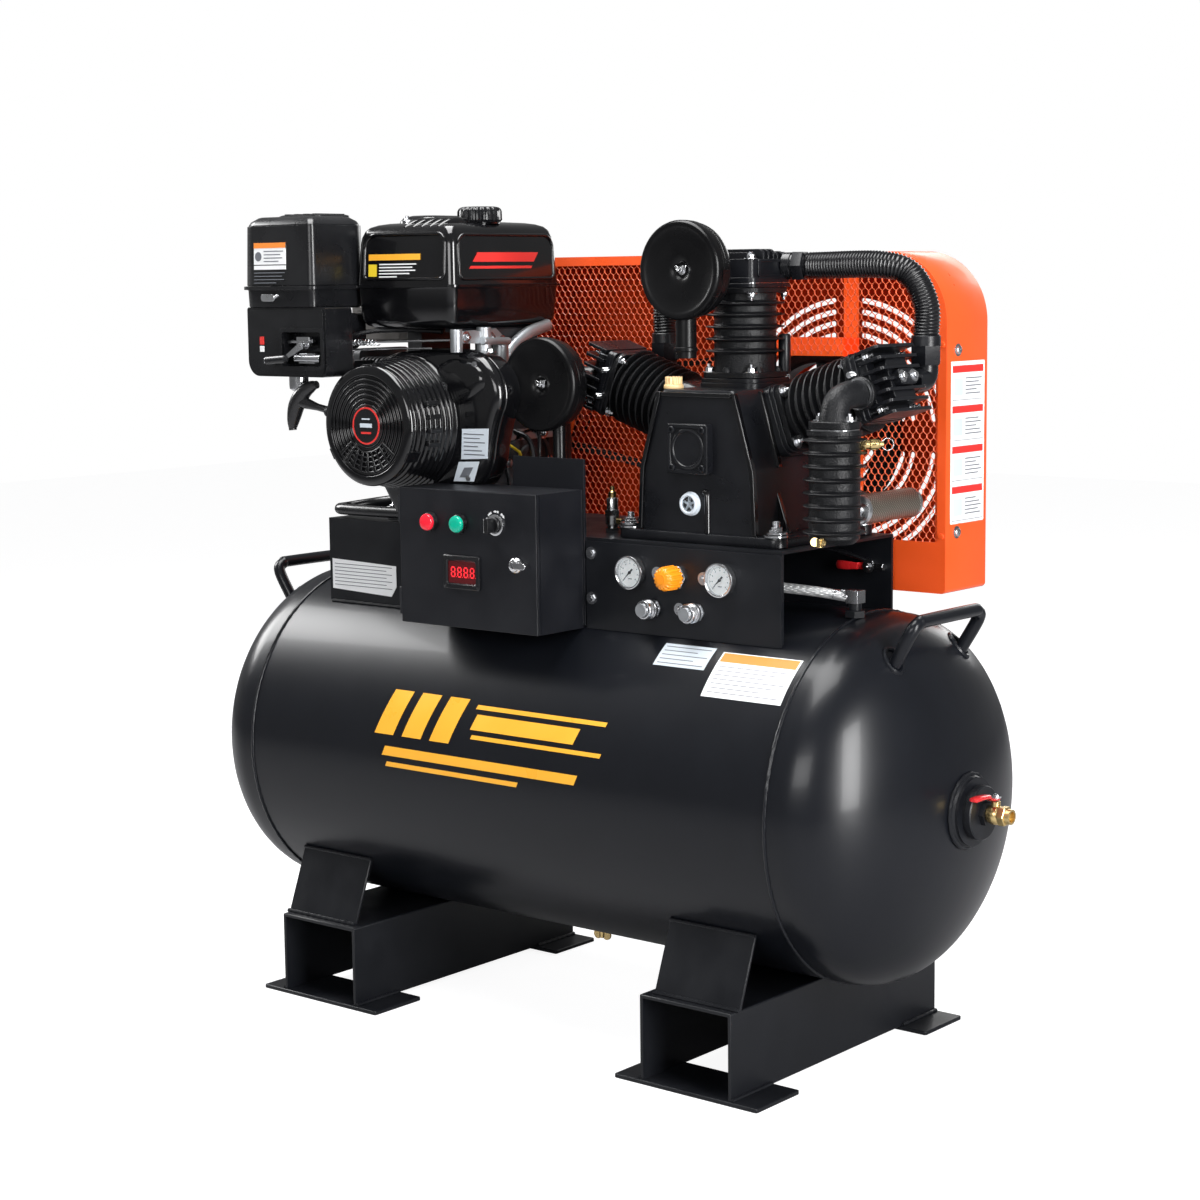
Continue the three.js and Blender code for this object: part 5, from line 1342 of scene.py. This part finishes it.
def build_drive():
    """Two belts, the flywheel and the engine's pulley."""
    belts = Geo()
    for y in (189.5, 201.5):
        inner, outer = belt_loop(0.4), belt_loop(8.6)
        belts.loft([[(x, y + 1.8, z) for x, z in inner], [(x, y, z) for x, z in outer],
                    [(x, y + 10, z) for x, z in outer], [(x, y + 8.2, z) for x, z in inner]], closed=True)
    belts.out("drive_belts", RUBBER, stands_for="drive_belt")
    wheel = Geo()
    rim = [(104, 182), (119.6, 182), (119.6, 188.8), (119.2, 189.4), (119.2, 199.6), (119.6, 200.2),
           (119.6, 201), (119.2, 201.6), (119.2, 211.6), (119.6, 212.2), (119.6, 218), (104, 218),
           (101, 214), (101, 186)]
    wheel.lathe(rim, (PUMP_X, 0, PUMP_Z), Y, 96, closed=True)
    wheel.lathe([(18, 178), (28, 178), (30, 180), (34, 190), (34, 210), (30, 218), (28, 220), (18, 220)],
                (PUMP_X, 0, PUMP_Z), Y, 48, closed=True)
    for k in range(5):
        turn = (Matrix.Translation((PUMP_X, 200, PUMP_Z)) @ Matrix.Rotation(TAU * k / 5, 4, "Y")
                @ Matrix.Rotation(math.radians(24), 4, "Z"))
        wheel.prism([(-15, 28), (15, 28), (11, 66), (13, 104), (-13, 104), (-11, 66)], "y", -5, 5, turn)
    wheel.out("flywheel_casting", CASTING, "pump_rotor", "flywheel", bevel=1.2)
    nut = Geo().bolt((PUMP_X, 218, PUMP_Z), Y, 13, 8, 0, 2.4)
    nut.out("flywheel_nut", ZINC, "pump_rotor")

    pulley = Geo()
    pulley.lathe([(13, 183), (44.8, 183), (44.8, 189), (44.4, 189.6), (44.4, 199.4), (44.8, 200),
                  (44.8, 201), (44.4, 201.6), (44.4, 211.4), (44.8, 212), (44.8, 217), (30, 217), (26, 212),
                  (20, 212), (13, 214)],
                 (PULLEY_X, 0, PULLEY_Z), Y, 64, closed=True)
    pulley.out("engine_pulley", SMOOTH_CAST, "engine_rotor", bevel=0.6)
    dress("engine_drive_shaft", STEEL, 0.8)
    nut = Geo().bolt((PULLEY_X, 216, PULLEY_Z), Y, 10, 5, 0, 2)
    nut.out("engine_pulley_bolt", ZINC, "engine_rotor")


# ---- engine ----
def closed_curve(points, samples=6):
    """Smooth closed outline through (x, z) points."""
    n = len(points)
    p = [Vector(q) for q in points]
    curve = []
    for i in range(n):
        curve += spline(p[i - 1], p[i], p[(i + 1) % n], p[(i + 2) % n], samples)
    return curve


def inset(points, distance):
    """Moves a closed anticlockwise outline inwards."""
    n = len(points)
    moved = []
    for i, p in enumerate(points):
        along = (points[(i + 1) % n] - points[i - 1]).normalized()
        moved.append(p + Vector((-along.y, along.x)) * distance)
    return moved


def box_stack(geo, levels, matrix=None, steps=7):
    """Lofts rounded rectangles given as (height, x0, x1, y0, y1, corner) upwards."""
    loops = [[(x, y, h) for x, y in rounded(x0, x1, y0, y1, r, steps)] for h, x0, x1, y0, y1, r in levels]
    if matrix:
        loops = [[matrix @ Vector(p) for p in loop] for loop in loops]
    return geo.loft(loops)


def build_recoil():
    """The fan cover, its badge, screws and labels, and the pull grip with its rope."""
    outline = closed_curve([(-335, 896), (-330, 856), (-308, 822), (-275, 800), (-234, 791), (-190, 790),
                            (-140, 793), (-102, 806), (-79, 835), (-71, 870), (-62, 900), (-51, 928),
                            (-51, 952), (-62, 975), (-82, 993), (-106, 1002), (-140, 1005), (-190, 1005),
                            (-234, 1001), (-272, 996), (-306, 975), (-328, 940)], 5)
    shroud = Geo()
    shroud.loft([[(x, y, z) for x, z in inset(outline, i)]
                 for y, i in ((-162, 13), (-161, 8), (-157.5, 3.6), (-152, 1), (-146, 0), (-118, 0),
                              (-112, 1.5), (-109.5, 5))])
    shroud.tube([(x, -146, z) for x, z in inset(outline, -0.4)], 1.9, 10, closed=True)
    lobe = closed_curve([(-172, 978), (-178, 950), (-150, 925), (-112, 930), (-82, 948), (-78, 968),
                         (-98, 985), (-140, 992)], 6)
    shroud.loft([[(x, y, z) for x, z in inset(lobe, i)]
                 for y, i in ((-160, -2), (-164, 1), (-167, 5), (-168.4, 11))])
    centre = (PULLEY_X, 0, PULLEY_Z)
    side = [(0, 158), (104, 158), (104.5, 162), (104.5, 166), (102.6, 168.4)]
    for k in range(8):
        h = 172 + k * 8.6
        base = 101.4 - k * 1.9
        side += [(base - 1.9, h - 1.2), (base, h + 0.4), (base - 0.3, h + 4.4), (base - 2.1, h + 5.8)]
    front = [(88.6, 240), (90, 242.4), (89.2, 245.8), (86.6, 248.4), (82, 249.6), (78, 249.8)]
    for k in range(6):
        r = 75 - k * 7.4
        front += [(r, 249.8), (r - 1.2, 246.6), (r - 4.4, 246.4), (r - 5.6, 249.8)]
    front += [(31, 250), (30, 248.6), (28.6, 248.6), (28, 250.4), (0, 250.6)]
    shroud.lathe(side + front, centre, FRONT, 112)
    place = facing((PULLEY_X, -246, PULLEY_Z), FRONT)
    for k in range(9):
        turn = place @ Matrix.Rotation(math.radians(218 + k * 13), 4, "Z")
        shroud.prism([(40, -1.6), (70, -2.6), (70, 2.6), (40, 1.6)], "z", -1, 4.2, turn)
    for k in range(3):
        turn = place @ Matrix.Rotation(math.radians(90 + 120 * k), 4, "Z")
        shroud.prism([(76, -9), (90, -9), (90, 9), (76, 9)], "z", -40, 1, turn)
    shroud.out("recoil_shroud", ENGINE, stands_for="recoil_housing", bevel=0.8, steps=2)

    vents = Geo()
    for k in range(4):
        a = math.radians(20 - 12 * k)
        x, z = PULLEY_X + 94.5 * math.cos(a), PULLEY_Z + 94.5 * math.sin(a)
        turn = Matrix.Translation((x, -205, z)) @ Matrix.Rotation(-a, 4, "Y")
        vents.box(-2, 5.6, -12, 12, -3.4, 3.4, turn)
    vents.out("recoil_side_louvres", PLASTIC, bevel=1)
    ring = Geo().lathe([(25.2, 250), (27.6, 250), (27.6, 251.2), (25.2, 251.2)], centre, FRONT, 64,
                       closed=True)
    ring.out("recoil_badge_ring", BAND_RED)
    badge = Geo().lathe([(0, 250), (25.4, 250), (25.4, 250.9), (0, 251)], centre, FRONT, 64)
    badge.out("recoil_badge", SATIN)
    marks = Geo()
    marks.box(PULLEY_X - 12, PULLEY_X + 12, -251.5, -250.8, PULLEY_Z - 2.5, PULLEY_Z + 3.5)
    marks.box(PULLEY_X - 8, PULLEY_X + 8, -251.5, -250.8, PULLEY_Z + 9, PULLEY_Z + 11)
    marks.out("recoil_badge_bar", PALE_PAPER)
    bar = Geo().box(PULLEY_X - 10, PULLEY_X + 10, -251.5, -250.8, PULLEY_Z - 12, PULLEY_Z - 9)
    bar.out("recoil_badge_red_bar", BAND_RED)
    screws = Geo()
    for x, y, z in ((-155, -172, 950), (-96, -163, 985), (-300, -163, 970), (-300, -163, 824),
                    (-112, -163, 818)):
        screws.bolt((x, y + 4, z), FRONT, 5, 4.4, 0, 1.4)
    screws.bolt((-86, -140, 1002), Z, 5, 4.4, 0, 1.4)
    screws.out("shroud_bolts", ZINC)

    labels, lines = Geo(), Geo()
    y = -162.6
    labels.prism([(-126, 845), (-74, 848), (-71, 892), (-123, 890)], "y", y, y + 1)
    labels.prism([(-142, 812), (-102, 813), (-90, 843), (-131, 841)], "y", y, y + 1)
    for k in range(6):
        lines.box(-120, (-80, -88, -78, -92, -84, -79)[k], y - 0.2, y + 0.2, 882 - 6 * k, 883.6 - 6 * k)
    lines.prism([(-130, 818), (-112, 819), (-102, 834), (-120, 833)], "y", y - 0.2, y + 0.2)
    labels.out("shroud_labels", PALE_PAPER)
    lines.out("shroud_label_lines", GREY_INK)

    grip = Geo()
    path = even_path([(-349, -238, 954), (-360, -239, 951), (-376, -240, 942), (-391, -240, 924),
                      (-400, -239, 903), (-404, -238, 889), (-404, -238, 884)], 1.5)
    n = len(path) - 1
    grip.tube(path, lambda k: 4 + 8.6 * math.sin(math.pi * min(max(k / n, 0.03), 0.97)) ** 0.6, 28)
    grip.tube(even_path([(-384, -240, 928), (-370, -239, 925), (-352, -238, 921), (-330, -238, 917)], 2),
              lambda k: max(5.4, 10 - 0.25 * k), 24)
    grip.out("starter_handle", RUBBER_GLOSS, "starter_grip", "starter_grip")
    guide_end, grip_end = Vector((-316, -238, 914)), Vector((-342, -238, 919))
    rope = Geo()
    rope.rod(guide_end, grip_end, 2.2, 16)
    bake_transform(rope.out("starter_rope", RUBBER, body=None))
    guide = Geo()
    guide.lathe([(3, 0), (10, 0), (10, 4), (8.4, 9), (6, 10), (3, 10)], (-318, -238, 914), (-1, 0, 0.05),
                28, closed=True)
    guide.out("starter_rope_guide", PLASTIC)


def build_engine_casting():
    """Crankcase, finned cylinder, muffler, brackets, rods and looms."""
    cast = Geo()
    box_stack(cast, [(740.2, -340, -128, -108, 108, 8), (753, -340, -128, -108, 108, 8),
                     (756, -336, -132, -104, 104, 8)])
    box_stack(cast, [(755, -318, -142, -106, 104, 16), (770, -326, -136, -112, 110, 18),
                     (850, -326, -134, -112, 112, 18), (975, -322, -138, -112, 108, 18),
                     (984, -312, -148, -104, 100, 18)])
    box_stack(cast, [(741, -262, -196, -150, -108, 12), (760, -276, -184, -156, -106, 14),
                     (806, -306, -160, -158, -106, 16)])
    for z in (790, 822, 940, 962):
        cast.box(-140, -131.5, -100, 92, z, z + 4)
    for y in (-84, -52, 40, 74):
        cast.box(-140, -129.5, y, y + 4.5, 762, 976)
    cast.lathe([(0, 0), (52, 0), (52, 6), (49, 8), (44, 8), (42, 5), (26, 5), (24, 9), (16, 9), (14, 6),
                (0, 6)], (-136, -6, 832), X, 56)
    cast.lathe([(0, 100), (78, 100), (78, 111), (74, 114), (30, 114), (26, 122), (16, 122), (0, 122)],
               (PULLEY_X, 0, PULLEY_Z), Y, 56)
    for k in range(11):
        x = -338 - 9 * k
        cast.prism(rounded(-71 + abs(k - 5) * 0.6, 71 - abs(k - 5) * 0.6, 859, 989, 14, 5), "x", x - 1.8,
                   x + 1.8)
    cast.rod((-330, 0, 924), (-436, 0, 924), 52, 40)
    cast.prism(rounded(-58, 58, 846, 1002, 12, 6), "x", -452, -438)
    cast.prism(rounded(-50, 50, 856, 992, 16, 6), "x", -466, -452)
    for k in range(6):
        cast.prism(rounded(-54, 54, 850, 998, 14, 5), "x", -463 + 0.1 * k, -461,
                   Matrix.Translation((4 * k - 4, 0, 0)))
    cast.box(-310, -280, -80, 30, 980, 1034)
    cast.box(-170, -140, -80, 30, 980, 1034)
    cast.out("engine_castings", ENGINE_CAST, stands_for="engine_block", bevel=1.6, steps=2)

    dark = Geo()
    box_stack(dark, [(858, -480, -464, -40, 40, 7), (985, -480, -464, -40, 40, 7)])
    dark.tube(even_path([(-330, -60, 770), (-398, -66, 760), (-433, -92, 753.5), (-425, -122, 753.5),
                         (-392, -128, 753.5), (-300, -129, 754), (-230, -127, 756), (-205, -118, 758),
                         (-198, -100, 762)], 4), 8.6, 20)
    dark.tube(even_path([(-345, -176, 1006), (-330, -184, 984), (-336, -190, 950), (-332, -170, 940)], 3),
              5, 14)
    dark.out("engine_cover_and_drain_hose", SATIN)

    pot = Geo()
    box_stack(pot, [(1012, -452, -350, -40, 82, 20), (1016, -462, -341, -46, 88, 24),
                    (1062, -468, -335, -50, 92, 26), (1064, -470, -333, -52, 94, 26),
                    (1067, -470, -333, -52, 94, 26), (1069, -468, -335, -50, 92, 26),
                    (1116, -462, -341, -46, 88, 24), (1122, -448, -354, -38, 80, 20)])
    for k in range(9):
        pot.box(-474, -466, -36 + 13 * k, -29 + 13 * k, 1040, 1094)
    pot.tube(even_path([(-402, 40, 1018), (-402, 40, 1000), (-410, 36, 985), (-430, 30, 975),
                        (-450, 20, 970)], 4), 16, 24)
    pot.rod((-430, 84, 1080), (-430, 112, 1080), 14, 28)
    pot.out("muffler", EXHAUST, bevel=0.8)
    feet = Geo()
    for x in (-330, -140):
        for y in (-98, 98):
            feet.bolt((x, y, 755), Z, 6.6, 6, 5, 2)
    for k in range(6):
        a = TAU * k / 6
        feet.bolt((-129, -6 + 47 * math.cos(a), 832 + 47 * math.sin(a)), X, 4, 4, 0, 1)
        feet.bolt((PULLEY_X + 68 * math.cos(a), 113, PULLEY_Z + 68 * math.sin(a)), Y, 4.4, 4, 0, 1)
    feet.out("engine_bolts", ZINC)

    alloy = Geo()
    alloy.prism([(-174, 1016), (-66, 1012), (-62, 1020), (-84, 1036), (-110, 1030), (-130, 1034),
                 (-174, 1032)], "x", -131, -123)
    alloy.prism([(-80, 984), (-58, 984), (-58, 1016), (-80, 1016)], "x", -132, -122)
    alloy.rod((-126, -168, 1002), (-126, -168, 1036), 9, 28)
    alloy.rod((-126, -108, 996), (-126, -108, 1038), 11, 28)
    alloy.rod((-127, -70, 980), (-127, -70, 1014), 12, 28)
    alloy.rod((-118, -120, 1018), (-118, -62, 1016), 6, 20)
    alloy.tube(even_path([(-128, -58, 990), (-128, -44, 1006), (-128, -8, 1026), (-128, 40, 1038)], 3),
               9.5, 24)
    alloy.box(-135, -126, -62, -48, 928, 996)
    alloy.prism([(-60, 930), (-40, 930), (-28, 980), (-34, 1002), (-60, 992)], "x", -134, -127)
    alloy.box(-136, -128, -60, 70, 866, 882)
    alloy.out("engine_brackets", ALLOY, bevel=1.8, steps=3)
    bits = Geo()
    for y, z in ((-150, 1024), (-96, 1022), (-70, 1016), (-52, 966), (-52, 938), (20, 874), (60, 874)):
        bits.bolt((-124, y, z), X, 5.2, 4.4, 3, 1.4)
    bits.rod((-398, -206, 1014), (-140, -166, 1020), 1.7, 10, 0.2)
    bits.rod((-398, -204, 1004), (-176, -168, 1008), 1.4, 10, 0.2)
    spring = [(-330 + 0.9 * k, -196 + 0.14 * k + 4 * math.cos(k * 0.9), 1016 + 4 * math.sin(k * 0.9))
              for k in range(70)]
    bits.tube(spring, 0.8, 8)
    bits.out("control_rods", ZINC)
    wire = Geo()
    wire.tube(even_path([(-128, -30, 848), (-112, -46, 842), (-102, -60, 850), (-108, -76, 862),
                         (-124, -80, 870)], 2), 2.2, 10)
    wire.out("earth_wire", YELLOW)
    loom = Geo()
    loom.tube(even_path([(-130, -40, 880), (-108, -30, 866), (-96, -34, 830), (-92, -50, 790),
                         (-84, -70, 745)], 3), 4.2, 12)
    loom.tube(even_path([(-130, -20, 900), (-104, -14, 880), (-96, -20, 840), (-110, -6, 800)], 3), 3.2, 12)
    loom.tube(even_path([(-352, -210, 1006), (-310, -178, 1030), (-250, -150, 1034),
                         (-180, -140, 1032)], 3), 3.6, 12)
    loom.out("engine_loom", HOSE)


def build_fuel_tank():
    """The fuel tank with its cap, straps and plain labels."""
    x0, x1, y0, y1 = -327, -125, -176, 70

    def ring(z, i, r=13):
        return (z, x0 + i, x1 - i, y0 + i, y1 - i, r)

    tank = Geo()
    box_stack(tank, [ring(1035.5, 30, 12), ring(1036.5, 20, 12), ring(1041, 10), ring(1048, 5),
                     ring(1070, 3), ring(1094, 1.5), ring(1097, 0.5), ring(1097.6, -4, 17),
                     ring(1100.8, -4, 17), ring(1101.4, 0.5), ring(1106, 1), ring(1140, 3), ring(1160, 4.4),
                     ring(1172, 6), ring(1181, 9.5), ring(1187, 15), ring(1190.6, 23, 16),
                     ring(1192.6, 33, 20), ring(1194, 52, 24)], steps=10)
    box_stack(tank, [(1180, -300, -226, -112, 44, 18), (1196, -300, -226, -112, 44, 18),
                     (1202, -296, -230, -108, 40, 18), (1205, -286, -240, -98, 30, 16)])
    frame_line = rounded(-306, -142, 1110, 1176, (16, 22, 8, 8), 8)
    tank.tube([(x, y0 + 1.0 + 0.066 * (z - 1106), z) for x, z in frame_line], 2.6, 14, closed=True)
    side_line = rounded(-158, 54, 1109, 1174, (18, 18, 8, 8), 8)
    tank.tube([(x1 - 1.0 - 0.066 * (z - 1106), y, z) for y, z in side_line], 2.4, 12, closed=True)
    for k in range(5):
        x = -232 + 17 * k
        path = [(x, -161 + t * 66, 1184 + 9.5 * math.sin(min(1, t * 1.5) * math.pi / 2))
                for t in (i / 10 for i in range(11))]
        tank.tube(path, lambda i: 7.5 * math.sin(math.pi * (i + 0.7) / 11.4) ** 0.5, 18)
    tank.out("fuel_tank_shell", ENGINE, stands_for="fuel_tank", angle=50)
    straps = Geo()
    for x in (-296, -154):
        straps.box(x - 12, x + 12, -150, 30, 1031, 1036.4)
    straps.out("fuel_tank_straps", FRAME_PAINT, bevel=1)

    cap = Geo()
    cx, cy, z0 = -172, -62, 1193.4
    loops = []
    for h, share in ((0, 0.93), (2, 0.97), (3, 1.0), (16, 0.99), (19.5, 0.94), (21.8, 0.84), (22.8, 0.7)):
        loops.append([(cx + (32.6 + 1.3 * max(-1, min(1, 2.5 * math.cos(20 * a)))) * share * math.cos(a),
                       cy + (32.6 + 1.3 * max(-1, min(1, 2.5 * math.cos(20 * a)))) * share * math.sin(a),
                       z0 + h)
                      for a in angles(160)])
    cap.loft(loops)
    cap.lathe([(0, 22), (17, 22), (15, 22.9), (0, 22.9)], (cx, cy, z0), Z, 48)
    cap.out("fuel_cap_ribbed", SATIN, "fuel_cap", "fuel_cap")
    neck = Geo().lathe([(0, -3), (30, -3), (31, -0.4), (0, -0.4)], (cx, cy, z0), Z, 48)
    neck.out("fuel_neck", ENGINE)
    nut = Geo().bolt((-262, -126, 1189), Z, 7, 7, 6, 2)
    nut.out("tank_top_nut", ZINC)

    header, sign, lines = Geo(), Geo(), Geo()
    tilt = Matrix.Translation((0, y0 + 1.1, 1110)) @ Matrix.Rotation(math.radians(-3.3), 4, "X")
    header.box(-296, -190, -1.4, -0.4, 28, 37, tilt)
    sign.box(-296, -280, -1.4, -0.4, 4, 22, tilt)
    for k in range(5):
        lines.box(-274, (-198, -206, -200, -212, -238)[k], -1.3, -0.4, 21 - 4.6 * k, 22.8 - 4.6 * k, tilt)
    header.out("tank_label_header", STRIPE)
    sign.out("tank_label_square", YELLOW)
    lines.out("tank_label_lines", PAPER)
    mark = Geo()
    lean = Matrix.Translation((x1 - 1.2, 0, 1110)) @ Matrix.Rotation(math.radians(-3.3), 4, "Y")
    mark.prism([(-128, 24), (8, 24), (19, 38), (-117, 38)], "x", 0.2, 1.4, lean)
    mark.prism([(-136, 14), (1, 14), (4, 18), (-133, 18)], "x", 0.2, 1.4, lean)
    mark.out("tank_side_stripe", BAND_RED)


def build_cleaner():
    """The air cleaner over the control panel, with choke and throttle."""
    box = Geo()
    x0, x1, y0, y1 = -484, -323, -268, -140

    def ring(z, i, r=30):
        return (z, x0 + i, x1 - i, y0 + i, y1 - i, (r, r, r, r * 0.36))

    box_stack(box, [ring(1068, 9, 22), ring(1071, 4, 26), ring(1094, 3, 27), ring(1096, 2.5, 28),
                    ring(1096.4, -3, 32), ring(1101.4, -3, 32), ring(1102, 2), ring(1103, 1),
                    ring(1190, 3.5, 28), ring(1191, 3.5, 28), ring(1191.4, 5.4, 27), ring(1193, 5.4, 27),
                    ring(1198, 9, 24), ring(1204, 19, 18), ring(1205, 23, 16)], steps=10)
    box_stack(box, [(1203, -440, -352, -225, -152, 10), (1206.5, -440, -352, -225, -152, 10),
                    (1208, -436, -356, -221, -156, 9)])
    for k in range(4):
        box.box(-430 + 20 * k, -422 + 20 * k, -218, -158, 1207, 1209.5)
    outline = rounded(-474, -304, 966, 1070, (4, 4, 24, 10), 8)
    window = rounded(-395, -312, 982, 1033, 4, 5)
    box.loft([[(x, y, z) for x, z in rounded(-474 + i, -304 - i, 966 + i, 1070 - i, (4, 4, 24, 10), 8)]
              for y, i in ((-240, 0), (-206, 0), (-202, 3))])
    sheet_with_holes(box, outline, [window], -260, -240)
    face = rounded(-470, -308, 970, 1066, (4, 4, 21, 8), 8)
    sheet_with_holes(box, face, [window], -262, -260)
    rim_out, rim_in = rounded(-401, -306, 976, 1039, 6, 5), rounded(-395, -312, 982, 1033, 4, 5)
    box.loft([[(x, y, z) for x, z in ring_] for y, ring_ in ((-261, rim_out), (-264.4, rim_out),
                                                             (-264.4, rim_in), (-261, rim_in))], closed=True)
    box.box(-395, -312, -250, -247, 1004, 1010)
    box.prism(rounded(-395, -330, 1010, 1060, 6, 5), "y", -206, -150)
    box.lathe([(0, 0), (26, 0), (26, 40), (0, 40)], (-385, -170, 1030), (0.3, 1, 0), 32)
    box.box(-430, -390, -205, -72, 971, 985)
    box.out("air_cleaner_box", SATIN, stands_for="air_cleaner", bevel=1.2, steps=3)

    works = Geo()
    works.rod((-392, -252, 1018), (-338, -252, 1020), 3.4, 16)
    works.box(-372, -344, -256, -250, 1012, 1026)
    works.rod((-376, -252, 993), (-322, -252, 993), 7.4, 24)
    works.box(-366, -332, -258, -249, 986, 1001)
    works.bolt((-350, -257, 1014), FRONT, 3.6, 3, 0, 1)
    works.lathe([(0, 944), (9, 944), (14, 947), (14.6, 952), (14.6, 966), (0, 966)], (-392, -234, 0), Z, 32)
    works.prism(rounded(-434, -404, 1079, 1090, 5, 4), "y", -268.4, -266.4)
    works.rod((-406, -267, 1084), (-396, -267, 1089), 2.2, 12)
    works.out("choke_works", ZINC, bevel=0.8)
    lever = Geo()
    lever.rod((-424, -269, 990), (-382, -269, 993), 6.4, 24, 1.4)
    lever.out("throttle_knob", SATIN, "throttle_lever", "throttle_lever")
    arm = Geo()
    arm.prism([(-386, 990), (-384, 998), (-352, 1018), (-346, 1012), (-350, 1008)], "y", -268.6, -266)
    arm.rod((-425.5, -269, 990), (-423.6, -269, 990), 5, 20, 0.3)
    arm.bolt((-350, -268, 1013.6), FRONT, 3.6, 2.6, 0, 0.8)
    arm.out("throttle_arm", ZINC, "throttle_lever")

    white, orange, grey, red = Geo(), Geo(), Geo(), Geo()
    y = -267.4
    tilt = Matrix.Translation((0, y, 1103)) @ Matrix.Rotation(math.radians(-1.6), 4, "X")
    white.box(-448, -379, -0.7, 0.4, 31, 63, tilt)
    white.box(-448, -379, -0.7, 0.4, 23.5, 29.5, tilt)
    orange.box(-448, -379, -1.0, 0.3, 55.5, 63.4, tilt)
    grey.lathe([(0, 0), (7, 0), (7, 0.3), (0, 0.3)], (-438, -0.8, 43), FRONT, 24, matrix=tilt)
    for k in range(4):
        grey.box(-426, (-384, -390, -386, -394)[k], -1.0, 0.2, 50 - 5 * k, 51.4 - 5 * k, tilt)
        grey.box(-448, (-382, -388, -384, -400)[k], -0.7, 0.2, 18 - 5 * k, 19.2 - 5 * k, tilt)
    white.box(-445, -436, -262.8, -261.6, 1003, 1012)
    red.box(-445, -436, -262.8, -261.6, 1014, 1026)
    white.out("cleaner_label", PAPER)
    orange.out("cleaner_label_header", BAND_ORANGE)
    grey.out("cleaner_label_lines", GREY_INK)
    red.out("cleaner_red_mark", BAND_RED)


# ---- stage ----
def seen_only(tree, socket, seen, otherwise):
    """Gives a socket one value where the camera looks straight at it and another for all other light."""
    path = tree.nodes.new("ShaderNodeLightPath")
    blend = tree.nodes.new("ShaderNodeMapRange")
    blend.inputs["To Min"].default_value = otherwise
    blend.inputs["To Max"].default_value = seen
    tree.links.new(path.outputs["Is Camera Ray"], blend.inputs["Value"])
    tree.links.new(blend.outputs["Result"], socket)


def build_stage():
    """A pale floor and sky, and soft lights."""
    ground = Geo().box(-9000, 9000, -9000, 9000, -30, -0.4)
    floor = bpy.data.objects.new("floor", bpy.data.meshes.new("floor"))
    floor.data.from_pydata([tuple(c * MM for c in v) for v in ground.verts], [], ground.faces)
    paper = material("floor_paper", (0.36, 0.36, 0.37), 0.6, bump=0.02, mottle=0.01, shine=0.2)
    shader = paper.node_tree.nodes["Principled BSDF"]
    shader.inputs["Emission Color"].default_value = (1, 1, 1, 1)
    seen_only(paper.node_tree, shader.inputs["Emission Strength"], 0.88, 0.0)
    floor.data.materials.append(paper)
    bpy.context.scene.collection.objects.link(floor)

    world = bpy.data.worlds.new("studio")
    world.use_nodes = True
    sky = world.node_tree.nodes["Background"]
    sky.inputs["Color"].default_value = (1, 1, 1, 1)
    seen_only(world.node_tree, sky.inputs["Strength"], 1.0, 0.22)
    bpy.context.scene.world = world
    softboxes = (("top_softbox", (-300, -300, 3300), (0, 0, 700), (2.6, 1.5), 120),
                 ("left_softbox", (-3000, -500, 2300), (-300, 0, 600), (1.2, 1.6), 90),
                 ("right_softbox", (3300, -900, 1300), (500, 0, 450), (0.85, 2.2), 135),
                 ("back_softbox", (-500, 3600, 1700), (0, 0, 700), (2.0, 1.4), 34),
                 ("front_softbox", (1100, -3700, 1900), (0, 0, 600), (2.0, 1.2), 48))
    for name, at, aim, size, power in softboxes:
        lamp = bpy.data.lights.new(name, "AREA")
        lamp.shape = "RECTANGLE"
        lamp.size, lamp.size_y = size
        lamp.energy = power
        obj = bpy.data.objects.new(name, lamp)
        obj.location = Vector(at) * MM
        obj.rotation_euler = (Vector(aim) - Vector(at)).to_track_quat("-Z", "Y").to_euler()
        bpy.context.scene.collection.objects.link(obj)


def build_camera():
    """The camera that the photo was fitted with."""
    azimuth, pitch, roll = math.radians(39.6), math.radians(7.59), math.radians(-0.68)
    data = bpy.data.cameras.new("camera")
    data.sensor_width = 36.0
    data.lens = 72.65
    data.clip_end = 60
    cam = bpy.data.objects.new("camera", data)
    bpy.context.scene.collection.objects.link(cam)
    view = Vector((-math.sin(azimuth) * math.cos(pitch), math.cos(azimuth) * math.cos(pitch),
                   -math.sin(pitch)))
    right = Vector((math.cos(azimuth), math.sin(azimuth), 0))
    up = right.cross(view)
    right, up = right * math.cos(roll) + up * math.sin(roll), up * math.cos(roll) - right * math.sin(roll)
    turn = Matrix((right, up, -view)).transposed()
    cam.matrix_world = Matrix.Translation(Vector((2308.8, -2787.8, 1109.2)) * MM + ORIGIN) @ turn.to_4x4()
    bpy.context.scene.camera = cam
    bpy.context.scene.view_settings.view_transform = "Standard"


build_tank()
build_saddles()
build_deck()
build_labels()
for gauge_side, gauge_x in (("left", 180), ("right", 338)):
    build_gauge(gauge_side, gauge_x)
build_couplers()
build_feed_line()
build_valves()
build_control_box()
build_box_works()
for bank in BANKS:
    build_barrel(bank)
    build_head(bank)
build_crankcase()
build_filters()
build_hoses()
build_cooler()
build_guard()
build_mesh()
build_guard_labels()
build_drive()
build_recoil()
build_engine_casting()
build_fuel_tank()
build_cleaner()
build_stage()
build_camera()
